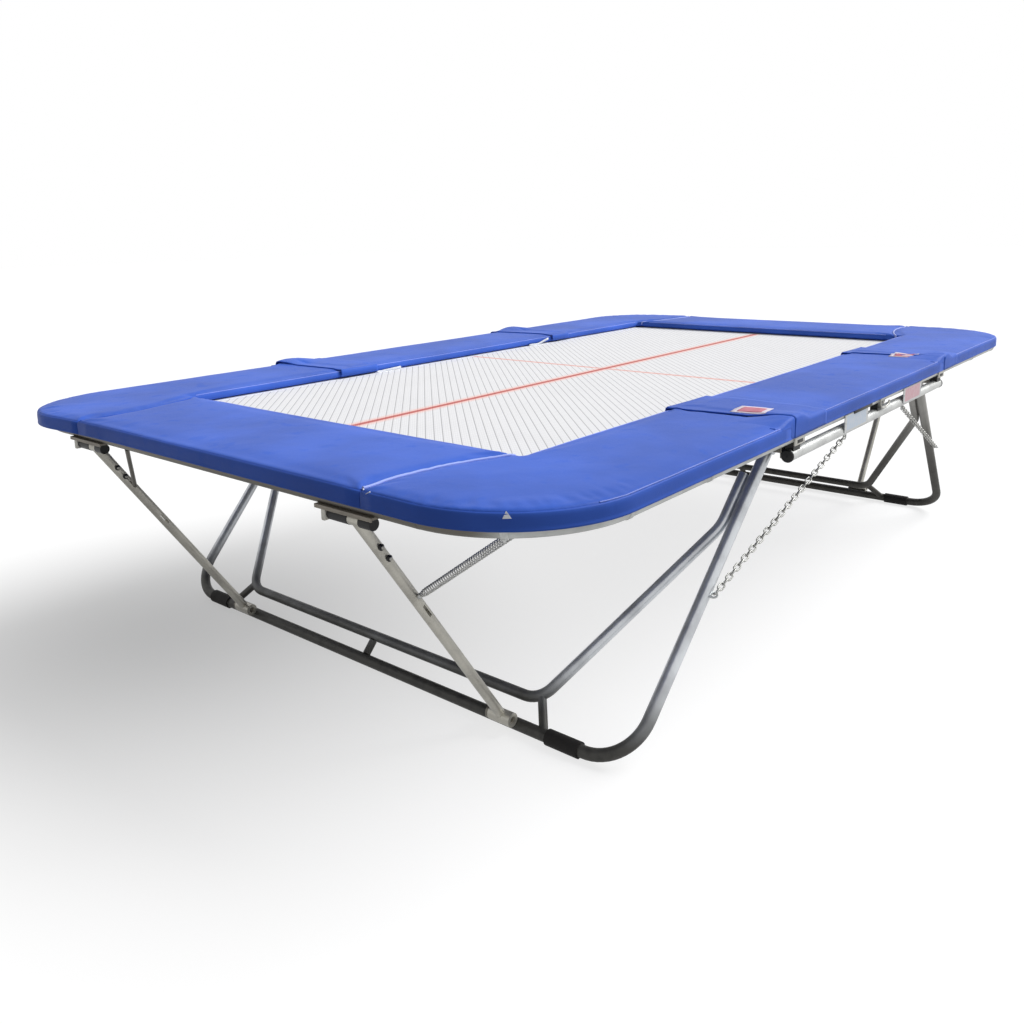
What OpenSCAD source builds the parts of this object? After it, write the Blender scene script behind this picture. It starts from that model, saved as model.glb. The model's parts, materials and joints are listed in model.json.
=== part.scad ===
// Folding rectangular trampoline on tube legs, with padded frame and woven bed.
// Origin on the floor under the middle. X runs along the bed, Y across it, Z up.

/* [Overall] */
// Length over the frame pads
overall_l = 4570; // [4400:10:4800]
// Width over the frame pads
overall_w = 2700; // [2600:10:2900]
// Height of the top of the frame pads above the floor
top_h = 985; // [940:5:1040]

/* [Frame tubes] */
// Outer diameter of the rail, the side tubes and the legs
tube_d = 42; // [38:1:46]
// Distance from the pads' outer edge to the middle of the rail
rail_inset = 26; // [24:1:34]
// Radius of the rail's middle line round the corners
rail_bend_r = 370; // [320:10:420]
// Height of the rail's middle below the top of the pads
rail_drop = 61; // [58:1:70]
// Distance from the middle of the rail down to the middle of the side tube
side_tube_drop = 64; // [60:1:72]
// Length of each lower side tube
side_tube_l = 1766; // [1600:2:1768]

/* [Fold hinges] */
// Distance of each fold hinge from the middle of the frame
fold_x = 890; // [886:1:940]
// Radius of the hinge knuckles
knuckle_r = 11; // [9:0.5:12]
// Thickness of the single leaf on the end frame
leaf_t = 14; // [10:1:16]
// Thickness of each outer leaf on the middle frame
fork_t = 5; // [4:0.5:6]
// Diameter of the fold hinge pins
fold_pin_d = 10; // [8:0.5:12]

/* [Legs] */
// Distance of each leg's floor tube from the middle of the frame
foot_x = 1652; // [1600:2:1700]
// Distance of each leg's pivot in from the end of the side tube
leg_hinge_in = 25; // [25:1:40]
// Distance of the leg pivots below the middle of the rail
leg_hinge_drop = 52; // [50:1:60]
// Distance from the middle of the rail in to the leg tube at the floor
leg_foot_in = 141; // [134:1:170]
// Distance from the middle of the rail in to the leg tube at the pivot
leg_top_in = 81; // [78:1:88]
// Bend radius at the lower corners of the outer leg tube
leg_bend_r = 170; // [140:5:190]
// Distance from the middle of the rail in to the end of the inner tube's cross bar
inner_foot_in = 524; // [474:2:544]
// Height of the inner cross bar up the leg from the floor tube
inner_cross_s = 95; // [85:1:120]
// Distance down the leg from its pivot to the inner tube's knee
inner_knee_drop = 321; // [281:5:381]
// Distance down the leg from its pivot to the inner tube's top
inner_top_drop = 116; // [91:5:161]
// Outer radius of the rubber sleeves that the legs stand on
sleeve_r = 27; // [26:0.5:30]
// Length of each rubber sleeve
sleeve_l = 125; // [90:5:150]
// Diameter of the leg pivots
leg_pin_d = 16; // [12:1:20]

/* [Struts] */
// Distance of each strut from the long middle line
strut_y = 722; // [690:2:740]
// Outer diameter of the strut tubes
strut_d = 34; // [30:1:36]
// Distance of each strut's foot pivot from the floor tube, square to the leg
strut_offset = 46; // [46:1:60]
// Length of the bush at the foot of a strut
strut_bush_l = 90; // [70:5:110]
// Diameter of the spindle in the bush
spindle_d = 24; // [20:1:24]
// Reach of a strut's head bar on its gripped side
head_long = 122; // [100:2:140]
// Reach of a strut's head bar on its capped side
head_short = 62; // [50:2:80]
// Length of the saddle under the end rail
saddle_l = 230; // [215:5:260]
// Thickness of the saddle's plate
saddle_t = 4; // [3:0.5:5]

/* [Strut springs] */
// Number of curls in each strut spring
spring_curls = 20; // [16:1:24]
// Wire diameter of the strut springs
spring_wire = 4; // [3:0.25:5]
// Radius of the curls' middle line
spring_r = 10; // [8:0.5:12]
// Height of a spring's seat up its strut
spring_seat = 650; // [560:5:700]

/* [Leg chains] */
// Distance of each chain's anchor from the middle of the frame
chain_x = 349; // [300:1:420]
// Height of a chain's eye up its leg
chain_eye_s = 600; // [540:5:640]
// Number of links in each chain, an even number
chain_links = 36; // [30:2:40]
// Wire diameter of the links
link_wire = 5; // [4:0.25:6]
// Half the distance between a link's two sides
link_half_w = 7.5; // [7:0.25:9]

/* [Bed] */
// Length of the woven bed
bed_l = 3660; // [3560:10:3700]
// Width of the woven bed
bed_w = 1830; // [1780:10:1860]
// Thickness of the bed
bed_t = 6; // [4:1:8]
// Depth of the bed's middle below the top of the pads
bed_drop = 49; // [48:1:54]
// Distance between neighbouring bed springs, at most
spring_pitch = 95; // [80:5:120]
// Radius of the bed springs
bed_spring_r = 8; // [6:0.5:8]

/* [Pads] */
// Thickness of the frame pads
pad_t = 39.7; // [30:0.1:39.8]
// Half the length of the opening between the pads
opening_x = 1760; // [1700:5:1800]
// Half the width of the opening between the pads
opening_y = 889; // [860:1:900]
// Half the width of an end pad at the outer edge
end_pad_y = 753; // [700:1:800]
// Rise of a pad's crown above its edges
crown = 5; // [2:0.5:8]
// How far a pad's sides draw in between its corners
draw_in = 4; // [1:0.5:6]
// Depth of the pads' outer skirt below the top of the pads
skirt_drop = 60; // [50:1:64]

/* [Hidden] */

// Fits and gaps
gap = 0.3;          // clearance between pieces that seat on each other
run_gap = 0.5;      // clearance between pieces that move past each other
pin_gap = 0.05;     // clearance of a pin in its bore, on the radius
fold_gap = 0.3;     // half the gap between frame sections at a fold
pad_gap = 1;        // half the gap between neighbouring pads
weld = 2;           // how deep a welded piece reaches into its tube
bend_lap = 2;       // how far a bend runs into the straight tube beside it
bend_slim = 0.1;    // how much slimmer a bend is than the straight tube, on the radius

// Places that follow from the sizes above
tube_r = tube_d / 2;
rail_x = overall_l / 2 - rail_inset;
rail_y = overall_w / 2 - rail_inset;
rail_h = top_h - rail_drop;
side_tube_h = rail_h - side_tube_drop;
rail_top = rail_h + tube_r;
rail_under = rail_h - tube_r;
bed_h = top_h - bed_drop;
pad_base = top_h - pad_t;
fold_h = top_h + 3;
fold_lug_drop = fold_h - rail_h - tube_r * 0.7;
fork_y = leaf_t / 2 + 0.5;
fork_out = fork_y + fork_t;
fold_pin_half = fork_out + 0.2;
fold_head_t = 4;
fold_head_r = fold_pin_d / 2 + 3;
pocket_half = fold_pin_half + fold_head_t + 1;
lug_l = 27;
rail_collar_l = 24;

// The leg stands in a plane that leans out from its pivot
foot_h = 25;
leg_hinge_x = side_tube_l / 2 - leg_hinge_in;
leg_hinge_h = rail_h - leg_hinge_drop;
leg_foot_y = rail_y - leg_foot_in;
leg_top_y = rail_y - leg_top_in;
inner_foot_y = rail_y - inner_foot_in;
leg_lean = atan2(foot_x - leg_hinge_x, leg_hinge_h - foot_h);
leg_len = norm([foot_x - leg_hinge_x, leg_hinge_h - foot_h]);
inner_knee_s = leg_len - inner_knee_drop;
inner_top_s = leg_len - inner_top_drop;
knee_bend_r = 150;
inner_bend_r = 100;
leg_bush_l = 44;
leg_collar_r = 12;
bracket_t = 6;
tie_d = 30;
tie_out_y = inner_foot_y + 3.24 * tube_r;
tie_in_y = inner_foot_y + 1.5;
tie_in_s = inner_cross_s + tube_r;

// The strut runs from its foot pivot to the saddle under the end rail
strut_foot = [-foot_x - strut_offset * cos(leg_lean), foot_h + strut_offset * sin(leg_lean)];
head_x = -rail_x;
head_r = strut_d / 2 + 1;
head_h = rail_under - saddle_t - run_gap - head_r;
strut_run = [head_x, head_h] - strut_foot;
strut_len = norm(strut_run);
strut_lean = atan2(-strut_run[0], strut_run[1]);
bush_r = spindle_d / 2 + 12;
collar_l = 44;
lip_h = 4;
saddle_play = 3.3;

// The spring stays between a strut and the corner of the end rail
corner_x = rail_x - rail_bend_r;
corner_y = rail_y - rail_bend_r;
eye_ring_r = 10;
eye_wire = 5;
eye_reach = rail_bend_r - tube_r - eye_ring_r - eye_wire / 2 - 0.2;
eye_pos = [-corner_x - eye_reach * sin(45), -corner_y - eye_reach * sin(45), rail_h];
seat_pos = [strut_foot[0] - spring_seat * sin(strut_lean), -strut_y,
            strut_foot[1] + spring_seat * cos(strut_lean)];
ferrule_r = 8;
ferrule_l = 46;
ferrule_sink = 6;
spring_rings = 6;
spring_sides = 5;

// The chain runs from an anchor under the side tube to an eye on the leg
lug_r = 13.5;
lug_hole_r = 8;
lug_t = 5;
chain_play = 3.6;
link_gap = 0.3;
leg_y_at_eye = leg_foot_y + (leg_top_y - leg_foot_y) * chain_eye_s / leg_len;
anchor_pos = [-chain_x, -rail_y, side_tube_h - tube_r - lug_r + weld];
leg_eye_pos = [-foot_x + chain_eye_s * sin(leg_lean), -leg_y_at_eye - tube_r - lug_r + weld,
               foot_h + chain_eye_s * cos(leg_lean)];
chain_run = leg_eye_pos - anchor_pos;
chain_span = norm(chain_run) - 2 * chain_play;
link_pitch = (chain_span - link_wire - link_gap) / chain_links;
link_len = link_pitch + link_wire + link_gap;

// Pads
edge_steps = 7;
end_steps = 3;
arc_steps = 14;
spine_in = rail_bend_r * 0.16;
spine_out = rail_bend_r * 0.41;
outer_draw = 1.5;
skirt_t = 2.2;
skirt_in = 0.4;
pad_corner_r = rail_bend_r + rail_inset;

$fn = 48;

// ---------------------------------------------------------------- helpers

function unit(v) = v / norm(v);
function lerp(a, b, t) = a + (b - a) * t;
function nearest_on_leg(p, a, b) =
    lerp(a, b, max(0, min(1, ((p - a) * (b - a)) / ((b - a) * (b - a)))));
function nearest_on(p, line) =
    let (spots = [for (i = [0:len(line) - 2]) nearest_on_leg(p, line[i], line[i + 1])],
         gaps = [for (q = spots) norm(p - q)])
    spots[search(min(gaps), gaps)[0]];

// Points from a towards b, bowed to the left by the draw-in between them
function drawn_edge(a, b, steps = edge_steps, by = draw_in) =
    let (side = unit([a[1] - b[1], b[0] - a[0]]))
    [for (i = [0:steps - 1]) lerp(a, b, i / steps) + side * by * sin(180 * i / steps)];
function arc_points(c, r, from, to, steps = arc_steps) =
    [for (i = [0:steps - 1]) c + r * [cos(lerp(from, to, i / steps)), sin(lerp(from, to, i / steps))]];

// A straight round bar from a to b
module bar(a, b, d) {
    run = b - a;
    translate(a) rotate([0, acos(run[2] / norm(run)), atan2(run[1], run[0])])
        cylinder(h = norm(run), d = d);
}

// Turns and moves its children so that their +Z points from a to b
module along(a, b) {
    run = b - a;
    translate(a) rotate([0, acos(run[2] / norm(run)), atan2(run[1], run[0])]) children();
}

// A round tube in the XY plane through corner points, with a bend radius at each
function turn_at(p, i) =
    let (u = unit(p[i] - p[i - 1]), v = unit(p[i + 1] - p[i]))
    atan2(u[0] * v[1] - u[1] * v[0], u * v);
function cut_at(p, r, i) =
    (i == 0 || i == len(p) - 1) ? 0 : r[i] * tan(abs(turn_at(p, i)) / 2);
module bent_tube(p, r, d) {
    for (i = [0:len(p) - 2]) {
        u = unit(p[i + 1] - p[i]);
        a = p[i] + u * cut_at(p, r, i);
        b = p[i + 1] - u * cut_at(p, r, i + 1);
        bar([a[0], a[1], 0], [b[0], b[1], 0], d);
    }
    for (i = [1:len(p) - 2]) {
        u = unit(p[i] - p[i - 1]);
        turn = turn_at(p, i);
        s = sign(turn);
        start = p[i] - u * cut_at(p, r, i);
        centre = start + s * r[i] * [-u[1], u[0]];
        from = atan2(start[1] - centre[1], start[0] - centre[0]);
        lap = bend_lap / r[i] * 57.3;
        translate([centre[0], centre[1], 0])
            rotate([0, 0, s > 0 ? from - lap : from + turn - lap])
                rotate_extrude(angle = abs(turn) + 2 * lap, $fn = 96)
                    translate([r[i], 0]) circle(d = d - 2 * bend_slim);
    }
}

// Places a leg's children: local Y stays across, local Z runs up the leg
module on_leg() {
    translate([-foot_x, 0, foot_h]) rotate([0, leg_lean, 0]) children();
}

// Stands a flat XY drawing up in the YZ plane
module stand_across() {
    rotate([90, 0, 90]) children();
}

// A copy on the other long side
module both_sides() {
    children();
    mirror([0, 1, 0]) children();
}

// ---------------------------------------------------------------- fold hinges

// One leaf of a fold hinge, standing on the rail on the +X side of the pin
module leaf_plate(thick) {
    rotate([90, 0, 0]) translate([0, 0, -thick / 2]) linear_extrude(thick) polygon([
        [fold_gap, -fold_lug_drop], [lug_l - 1, -fold_lug_drop], [lug_l - 1, -fold_lug_drop + 12],
        [knuckle_r * cos(20), knuckle_r * sin(20)], [0, knuckle_r], [fold_gap - 2, 0]]);
    rotate([90, 0, 0]) cylinder(h = thick, r = knuckle_r, center = true);
}
module pin_bore(len) {
    rotate([90, 0, 0]) cylinder(h = len, r = fold_pin_d / 2 + pin_gap, center = true);
}
// The fork on the middle frame at its left end
module fork() {
    for (s = [-1, 1]) translate([0, s * (fork_y + fork_t / 2), 0]) leaf_plate(fork_t);
}
module middle_rail(side) {
    color("silver") difference() {
        union() {
            translate([-fold_x + fold_gap, side * rail_y, rail_h]) rotate([0, 90, 0])
                cylinder(h = 2 * (fold_x - fold_gap), d = tube_d);
            for (m = [0, 1]) mirror([m, 0, 0])
                translate([-fold_x, side * rail_y, fold_h]) fork();
        }
        for (s = [-1, 1]) translate([s * fold_x, side * rail_y, fold_h]) pin_bore(4 * fork_out);
    }
}
module fold_hinge_pins() {
    color("dimgray") for (sx = [-1, 1], sy = [-1, 1]) translate([sx * fold_x, sy * rail_y, fold_h])
        rotate([90, 0, 0]) rotate_extrude() polygon([
            [0, -fold_pin_half - fold_head_t], [fold_head_r, -fold_pin_half - fold_head_t],
            [fold_head_r, -fold_pin_half], [fold_pin_d / 2, -fold_pin_half],
            [fold_pin_d / 2, fold_pin_half], [fold_head_r, fold_pin_half],
            [fold_head_r, fold_pin_half + fold_head_t], [0, fold_pin_half + fold_head_t]]);
}

// ---------------------------------------------------------------- middle frame

module side_tube(side) {
    color("silver") translate([-side_tube_l / 2, side * rail_y, side_tube_h]) rotate([0, 90, 0])
        cylinder(h = side_tube_l, d = tube_d);
}
module side_tube_caps() {
    color("black") for (sx = [-1, 1], sy = [-1, 1])
        translate([sx * (side_tube_l / 2 + gap), sy * rail_y, side_tube_h])
            rotate([0, sx * 90, 0]) rotate_extrude() polygon([
                [0, 0], [tube_r + 1.5, 0], [tube_r + 1.5, 5], [tube_r - 2, 9], [0, 11]]);
}
// Blocks that hold the side tube off the rail
block_h = side_tube_drop - tube_d;
module side_blocks() {
    color("black") for (sx = [-1, 0, 1], sy = [-1, 1])
        translate([sx * (side_tube_l / 2 - 38), sy * rail_y, side_tube_h + side_tube_drop / 2])
            difference() {
                cube([56, 30, side_tube_drop - 18], center = true);
                for (s = [-1, 1]) translate([0, 0, s * side_tube_drop / 2]) rotate([0, 90, 0])
                    cylinder(h = 60, r = tube_r + gap, center = true);
            }
}
// Flat plates across the rail and the side tube, on their outer faces
plate_l = 250;
plate_t = 3;
plate_x = [-295, 405];
plate_top = top_h - skirt_drop - 3;
plate_low = side_tube_h - 3;
module web_plates() {
    color("gainsboro") for (x = plate_x, sy = [-1, 1])
        translate([x, sy * (rail_y + tube_r + plate_t / 2 + 0.2), (plate_top + plate_low) / 2])
            difference() {
                cube([plate_l, plate_t, plate_top - plate_low], center = true);
                for (s = [-1, 1]) translate([s * (plate_l / 2 - 10), 0, 0]) rotate([90, 0, 0])
                    cylinder(h = 2 * plate_t, r = 3, center = true);
            }
}
// Plates on the inner faces that carry the leg pivots
bracket_y = rail_y - tube_r - gap;
module leg_hinge_brackets() {
    top = rail_h + 6 - leg_hinge_h;
    low = side_tube_h - 12 - leg_hinge_h;
    color("silver") for (sx = [-1, 1], sy = [-1, 1])
        translate([sx * leg_hinge_x, sy * (bracket_y - bracket_t / 2), leg_hinge_h])
            rotate([90, 0, 0]) difference() {
                translate([0, 0, -bracket_t / 2]) linear_extrude(bracket_t) polygon([
                    [-24, low], [24, low], [28, 8], [28, top], [-28, top], [-28, 8]]);
                cylinder(h = 2 * bracket_t, r = leg_pin_d / 2 + pin_gap, center = true);
            }
}
leg_pin_in = leg_top_y - leg_bush_l / 2 - run_gap;
leg_pin_out = leg_top_y + leg_bush_l / 2 + run_gap;
module leg_hinge_pins() {
    r = leg_pin_d / 2;
    color("dimgray") for (sx = [-1, 1]) both_sides()
        translate([sx * leg_hinge_x, 0, leg_hinge_h]) rotate([90, 0, 0]) rotate_extrude() polygon([
            [0, leg_pin_in - 8], [13, leg_pin_in - 8], [13, leg_pin_in], [r, leg_pin_in],
            [r, leg_pin_out], [leg_collar_r, leg_pin_out],
            [leg_collar_r, bracket_y - bracket_t - gap], [r, bracket_y - bracket_t - gap],
            [r, bracket_y], [0, bracket_y]]);
}
module eye_plate() {
    difference() {
        union() {
            cylinder(h = lug_t, r = lug_r, center = true);
            translate([0, lug_r / 2, 0]) cube([2 * lug_r, lug_r, lug_t], center = true);
        }
        cylinder(h = 2 * lug_t, r = lug_hole_r, center = true);
    }
}
module chain_anchors() {
    color("silver") for (sx = [-1, 1], sy = [-1, 1])
        translate([sx * -anchor_pos[0], sy * -anchor_pos[1], anchor_pos[2]]) difference() {
            rotate([90, 0, 0]) eye_plate();
            translate([0, 0, lug_r - weld + tube_r]) rotate([0, 90, 0])
                cylinder(h = 4 * lug_r, r = tube_r + 0.1, center = true);
        }
}

// ---------------------------------------------------------------- bed and bed springs

module bed_piece(from, to) {
    color("white") translate([from, -bed_w / 2, bed_h - bed_t / 2])
        cube([to - from, bed_w, bed_t]);
}
// One bed spring along +X, from the bed's edge to the rail
module bed_spring(len) {
    rod_r = 2.5;
    hook = 42;
    rotate([0, 90, 0]) {
        cylinder(h = len, r = rod_r, $fn = 24);
        translate([0, 0, hook]) cylinder(h = len - 2 * hook, r = bed_spring_r, $fn = 24);
    }
}
// How far the rail's inner face stands from its middle at the bed's height
rail_face = sqrt(tube_r * tube_r - (bed_h - rail_h) * (bed_h - rail_h));
module side_spring_row(from, to) {
    n = ceil((to - from) / spring_pitch);
    len = rail_y - rail_face - bed_w / 2 - 2 * gap;
    for (i = [0:n], s = [-1, 1]) translate([lerp(from, to, i / n), s * (bed_w / 2 + gap), bed_h])
        rotate([0, 0, s * 90]) bed_spring(len);
}
module end_spring_row() {
    half = bed_w / 2 - 35;
    n = ceil(2 * half / spring_pitch);
    len = rail_x - rail_face - bed_l / 2 - 2 * gap;
    for (i = [0:n]) translate([-bed_l / 2 - gap, lerp(-half, half, i / n), bed_h])
        rotate([0, 0, 180]) bed_spring(len);
}
module middle_springs() {
    color("silver") side_spring_row(-fold_x + 36, fold_x - 36);
}
module end_springs() {
    color("silver") {
        side_spring_row(-bed_l / 2 + 30, -fold_x - 36);
        end_spring_row();
    }
}

// ---------------------------------------------------------------- end frame

module end_rail() {
    corner = [for (s = [-1, 1]) [-rail_x, s * rail_y]];
    path = [[-fold_x - fold_gap, -rail_y], corner[0], corner[1], [-fold_x - fold_gap, rail_y]];
    color("silver") difference() {
        union() {
            translate([0, 0, rail_h]) {
                bent_tube(path, [0, rail_bend_r, rail_bend_r, 0], tube_d);
                for (s = [-1, 1]) {
                    translate([-corner_x, s * rail_y, 0]) rotate([0, 90, 0])
                        cylinder(h = rail_collar_l, r = tube_r + 0.2, center = true);
                    translate([-rail_x, s * corner_y, 0]) rotate([90, 0, 0])
                        cylinder(h = rail_collar_l, r = tube_r + 0.2, center = true);
                }
            }
            for (s = [-1, 1]) translate([-fold_x, s * rail_y, fold_h]) mirror([1, 0, 0])
                leaf_plate(leaf_t);
        }
        for (s = [-1, 1]) translate([-fold_x, s * rail_y, fold_h]) pin_bore(4 * fork_out);
    }
}
// Channels under the end rail, open downwards, that the strut heads sit in: a plate and two lips
module strut_saddles() {
    inner = head_r + saddle_play;
    color("dimgray") for (s = [-1, 1])
        translate([-rail_x, s * strut_y + (head_long - head_short) / 2, rail_under - saddle_t]) {
            difference() {
                translate([-inner - saddle_t, -saddle_l / 2, 0])
                    cube([2 * (inner + saddle_t), saddle_l, saddle_t + 3]);
                translate([0, 0, saddle_t + tube_r]) rotate([90, 0, 0])
                    cylinder(h = 2 * saddle_l, r = tube_r + 0.1, center = true);
            }
            for (side = [-1, 1]) translate([side * (inner + saddle_t / 2), 0, -lip_h / 2 - 0.1])
                cube([saddle_t, saddle_l, lip_h], center = true);
        }
}
module spring_eyes() {
    color("dimgray") both_sides() translate(eye_pos) rotate([0, 0, 45]) rotate([90, 0, 0])
        rotate_extrude() translate([eye_ring_r, 0]) circle(d = eye_wire, $fn = 24);
}

// ---------------------------------------------------------------- legs

outer_path = [[-leg_top_y, leg_len], [-leg_foot_y, 0], [leg_foot_y, 0], [leg_top_y, leg_len]];
function outer_y(s) = leg_foot_y + (leg_top_y - leg_foot_y) * s / leg_len;
inner_path = [
    [-outer_y(inner_top_s) + tube_d, inner_top_s], [-outer_y(inner_knee_s) + tube_d, inner_knee_s],
    [-inner_foot_y, inner_cross_s], [inner_foot_y, inner_cross_s],
    [outer_y(inner_knee_s) - tube_d, inner_knee_s], [outer_y(inner_top_s) - tube_d, inner_top_s]];
inner_bends = [0, knee_bend_r, inner_bend_r, inner_bend_r, knee_bend_r, 0];
module leg_outer_tube() {
    color("silver") on_leg() difference() {
        union() {
            stand_across() bent_tube(outer_path, [0, leg_bend_r, leg_bend_r, 0], tube_d);
            for (s = [-1, 1]) translate([0, s * leg_top_y, leg_len]) rotate([90, 0, 0])
                cylinder(h = leg_bush_l, r = tube_r, center = true);
        }
        for (s = [-1, 1]) translate([0, s * leg_top_y, leg_len]) rotate([90, 0, 0])
            cylinder(h = 3 * leg_bush_l, r = leg_pin_d / 2 + pin_gap, center = true);
    }
}
module leg_inner_tube() {
    color("silver") on_leg() stand_across()
        bent_tube(inner_path, inner_bends, tube_d - 4);
}
module leg_ties() {
    from = tube_r + 0.1;
    to = inner_cross_s - (tube_d - 4) / 2 - 0.1;
    color("silver") on_leg() {
        translate([0, 0, from]) cylinder(h = to - from, d = tie_d);
        both_sides() difference() {
            bar([0, tie_out_y, 0], [0, tie_in_y, tie_in_s], tie_d);
            rotate([90, 0, 0]) cylinder(h = 3 * leg_foot_y, r = from, center = true);
            stand_across() bent_tube(inner_path, inner_bends, tube_d - 3.8);
        }
    }
}
sleeve_y = leg_foot_y - leg_bend_r - sleeve_l / 2 - 2;
module foot_sleeves() {
    color("black") both_sides() translate([-foot_x, sleeve_y, foot_h]) difference() {
        rotate([90, 0, 0]) cylinder(h = sleeve_l, r = sleeve_r, center = true);
        rotate([90, 0, 0]) cylinder(h = 2 * sleeve_l, r = tube_r + 0.05, center = true);
        translate([-tube_d, -sleeve_l, -foot_h - tube_d]) cube([2 * tube_d, 2 * sleeve_l, tube_d]);
    }
}
// Spindles for the strut feet, each on a web welded to the floor tube
web_t = 10;
spindle_l = strut_bush_l - 8;
module strut_spindles() {
    color("dimgray") for (s = [-1, 1]) on_leg() translate([-strut_offset, s * strut_y, 0]) {
        translate([0, strut_bush_l / 2 + run_gap, 0]) rotate([90, 0, 0])
            cylinder(h = spindle_l, d = spindle_d);
        translate([0, strut_bush_l / 2 + run_gap + web_t, 0]) rotate([90, 0, 0]) difference() {
            union() {
                cylinder(h = web_t, r = bush_r - 1);
                translate([0, -14, 0]) cube([strut_offset - 8, 28, web_t]);
            }
            translate([strut_offset, 0, -1]) cylinder(h = web_t + 2, r = tube_r + 0.1);
        }
    }
}
module chain_eyes() {
    run = [chain_run[0], 0, chain_run[2]];
    color("silver") both_sides() difference() {
        translate(leg_eye_pos) rotate([0, acos(run[2] / norm(run)), atan2(run[1], run[0])])
            rotate([0, 90, 0]) rotate([0, 0, 180]) eye_plate();
        on_leg() stand_across() bar([-leg_foot_y, 0, 0], [-leg_top_y, leg_len, 0],
                                    2 * tube_r + 0.2);
    }
}

// ---------------------------------------------------------------- struts

module on_strut(side) {
    translate([strut_foot[0], side * strut_y, strut_foot[1]]) rotate([0, -strut_lean, 0])
        children();
}
bolt_drops = [110, 158];
bolt_s = [for (drop = bolt_drops) strut_len - drop];
module strut(side) {
    color("silver") on_strut(side) difference() {
        union() {
            rotate([90, 0, 0]) cylinder(h = strut_bush_l, r = bush_r, center = true);
            cylinder(h = strut_len, d = strut_d);
            translate([0, head_long, strut_len]) rotate([90, 0, 0])
                cylinder(h = head_long + head_short, d = strut_d - 6);
            translate([0, 0, strut_len]) rotate([90, 0, 0])
                cylinder(h = collar_l, d = strut_d, center = true);
        }
        rotate([90, 0, 0]) cylinder(h = 2 * strut_bush_l, r = spindle_d / 2 + pin_gap, center = true);
        translate([0, 0, spring_seat - 52]) cube([9, 2 * strut_d, 50], center = true);
        for (s = bolt_s) translate([0, 0, s]) rotate([90, 0, 0])
            cylinder(h = 2 * strut_d, r = 4 + pin_gap, center = true);
    }
}
// Rubber on the head bar and the two buffer bolts below it
module strut_grips(side) {
    inner = strut_d / 2 - 3 + 0.05;
    color("black") on_strut(side) {
        translate([0, head_long - 8, strut_len]) rotate([90, 0, 0]) difference() {
            cylinder(h = head_long - collar_l / 2 - 8 - gap, r = head_r);
            translate([0, 0, -1]) cylinder(h = head_long, r = inner);
        }
        translate([0, -collar_l / 2 - gap, strut_len]) rotate([90, 0, 0]) difference() {
            cylinder(h = head_short - collar_l / 2 + 6, r = head_r);
            translate([0, 0, -1]) cylinder(h = head_short - collar_l / 2 + 1.2, r = inner);
        }
        for (s = bolt_s) translate([0, 0, s]) rotate([90, 0, 0]) rotate_extrude() polygon([
            [0, -strut_d / 2 - 6], [8, -strut_d / 2 - 6], [8, -strut_d / 2 - gap],
            [4, -strut_d / 2 - gap], [4, strut_d / 2 + gap], [9, strut_d / 2 + gap],
            [10, strut_d / 2 + 6], [6, strut_d / 2 + 10], [0, strut_d / 2 + 11]]);
    }
}

// ---------------------------------------------------------------- strut springs

// The wire's middle line: straight ends on the axis, and curls between them
lead = 2 * spring_wire;
ramp_steps = 5;
function coil_path(len) =
    let (ramp = 3 * spring_wire, body = len - 2 * (lead + ramp), n = spring_curls * spring_rings)
    concat([[0, 0, 0], [0, 0, lead]],
        [for (i = [1:ramp_steps]) let (a = 36 * i, r = spring_r * i / (ramp_steps + 1))
            [r * cos(a), r * sin(a), lead + ramp * i / (ramp_steps + 1)]],
        [for (i = [0:n]) let (a = 216 + 360 * i / spring_rings)
            [spring_r * cos(a), spring_r * sin(a), lead + ramp + body * i / n]],
        [for (i = [1:ramp_steps]) let (a = 216 + 36 * i, r = spring_r * (1 - i / (ramp_steps + 1)))
            [r * cos(a), r * sin(a), len - lead - ramp + ramp * i / (ramp_steps + 1)]],
        [[0, 0, len - lead], [0, 0, len]]);
function tangent(p, i) =
    unit(p[min(i + 1, len(p) - 1)] - p[max(i - 1, 0)]);
function wire_rings(p, r, sides) =
    [for (i = 0, n = [1, 0, 0]; i < len(p);
          i = i + 1, n = i < len(p) ? unit(n - (n * tangent(p, i)) * tangent(p, i)) : n)
        let (b = cross(tangent(p, i), n))
        [for (k = [0:sides - 1]) p[i] + r * (cos(360 * k / sides) * n + sin(360 * k / sides) * b)]];
module wire(p, r, sides) {
    rings = wire_rings(p, r, sides);
    n = len(rings);
    points = [for (ring = rings, q = ring) q];
    walls = [for (i = [0:n - 2], k = [0:sides - 1])
        let (a = i * sides + k, b = i * sides + (k + 1) % sides)
        each [[a, a + sides, b], [b, a + sides, b + sides]]];
    start = [for (k = [1:sides - 2]) [0, k, k + 1]];
    end = [for (k = [1:sides - 2]) [(n - 1) * sides, (n - 1) * sides + k + 1, (n - 1) * sides + k]];
    polyhedron(points = points, faces = concat(start, walls, end));
}
spring_dir = unit(eye_pos - seat_pos);
spring_start = seat_pos + spring_dir * ferrule_sink;
coil_len = norm(eye_pos - spring_start) - ferrule_l + weld - eye_ring_r - eye_wire / 2 - run_gap;
own_turn = round(0.75 * spring_rings);
coil_points = coil_path(coil_len);
least_gap = min([for (i = [0:len(coil_points) - 1 - own_turn])
    min([for (j = [i + own_turn:len(coil_points) - 1])
        norm(coil_points[i] - coil_points[j])])]) - spring_wire;
echo(str("strut spring: least gap of the wire to itself = ", least_gap, " mm"));
module strut_spring() {
    color("gray") {
        difference() {
            along(spring_start, eye_pos) cylinder(h = ferrule_l, r = ferrule_r);
            on_strut(-1) cylinder(h = strut_len, r = strut_d / 2 + 0.05);
        }
        along(spring_start, eye_pos) translate([0, 0, ferrule_l - weld])
            wire(coil_points, spring_wire / 2, spring_sides);
    }
}

// ---------------------------------------------------------------- leg chains

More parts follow.
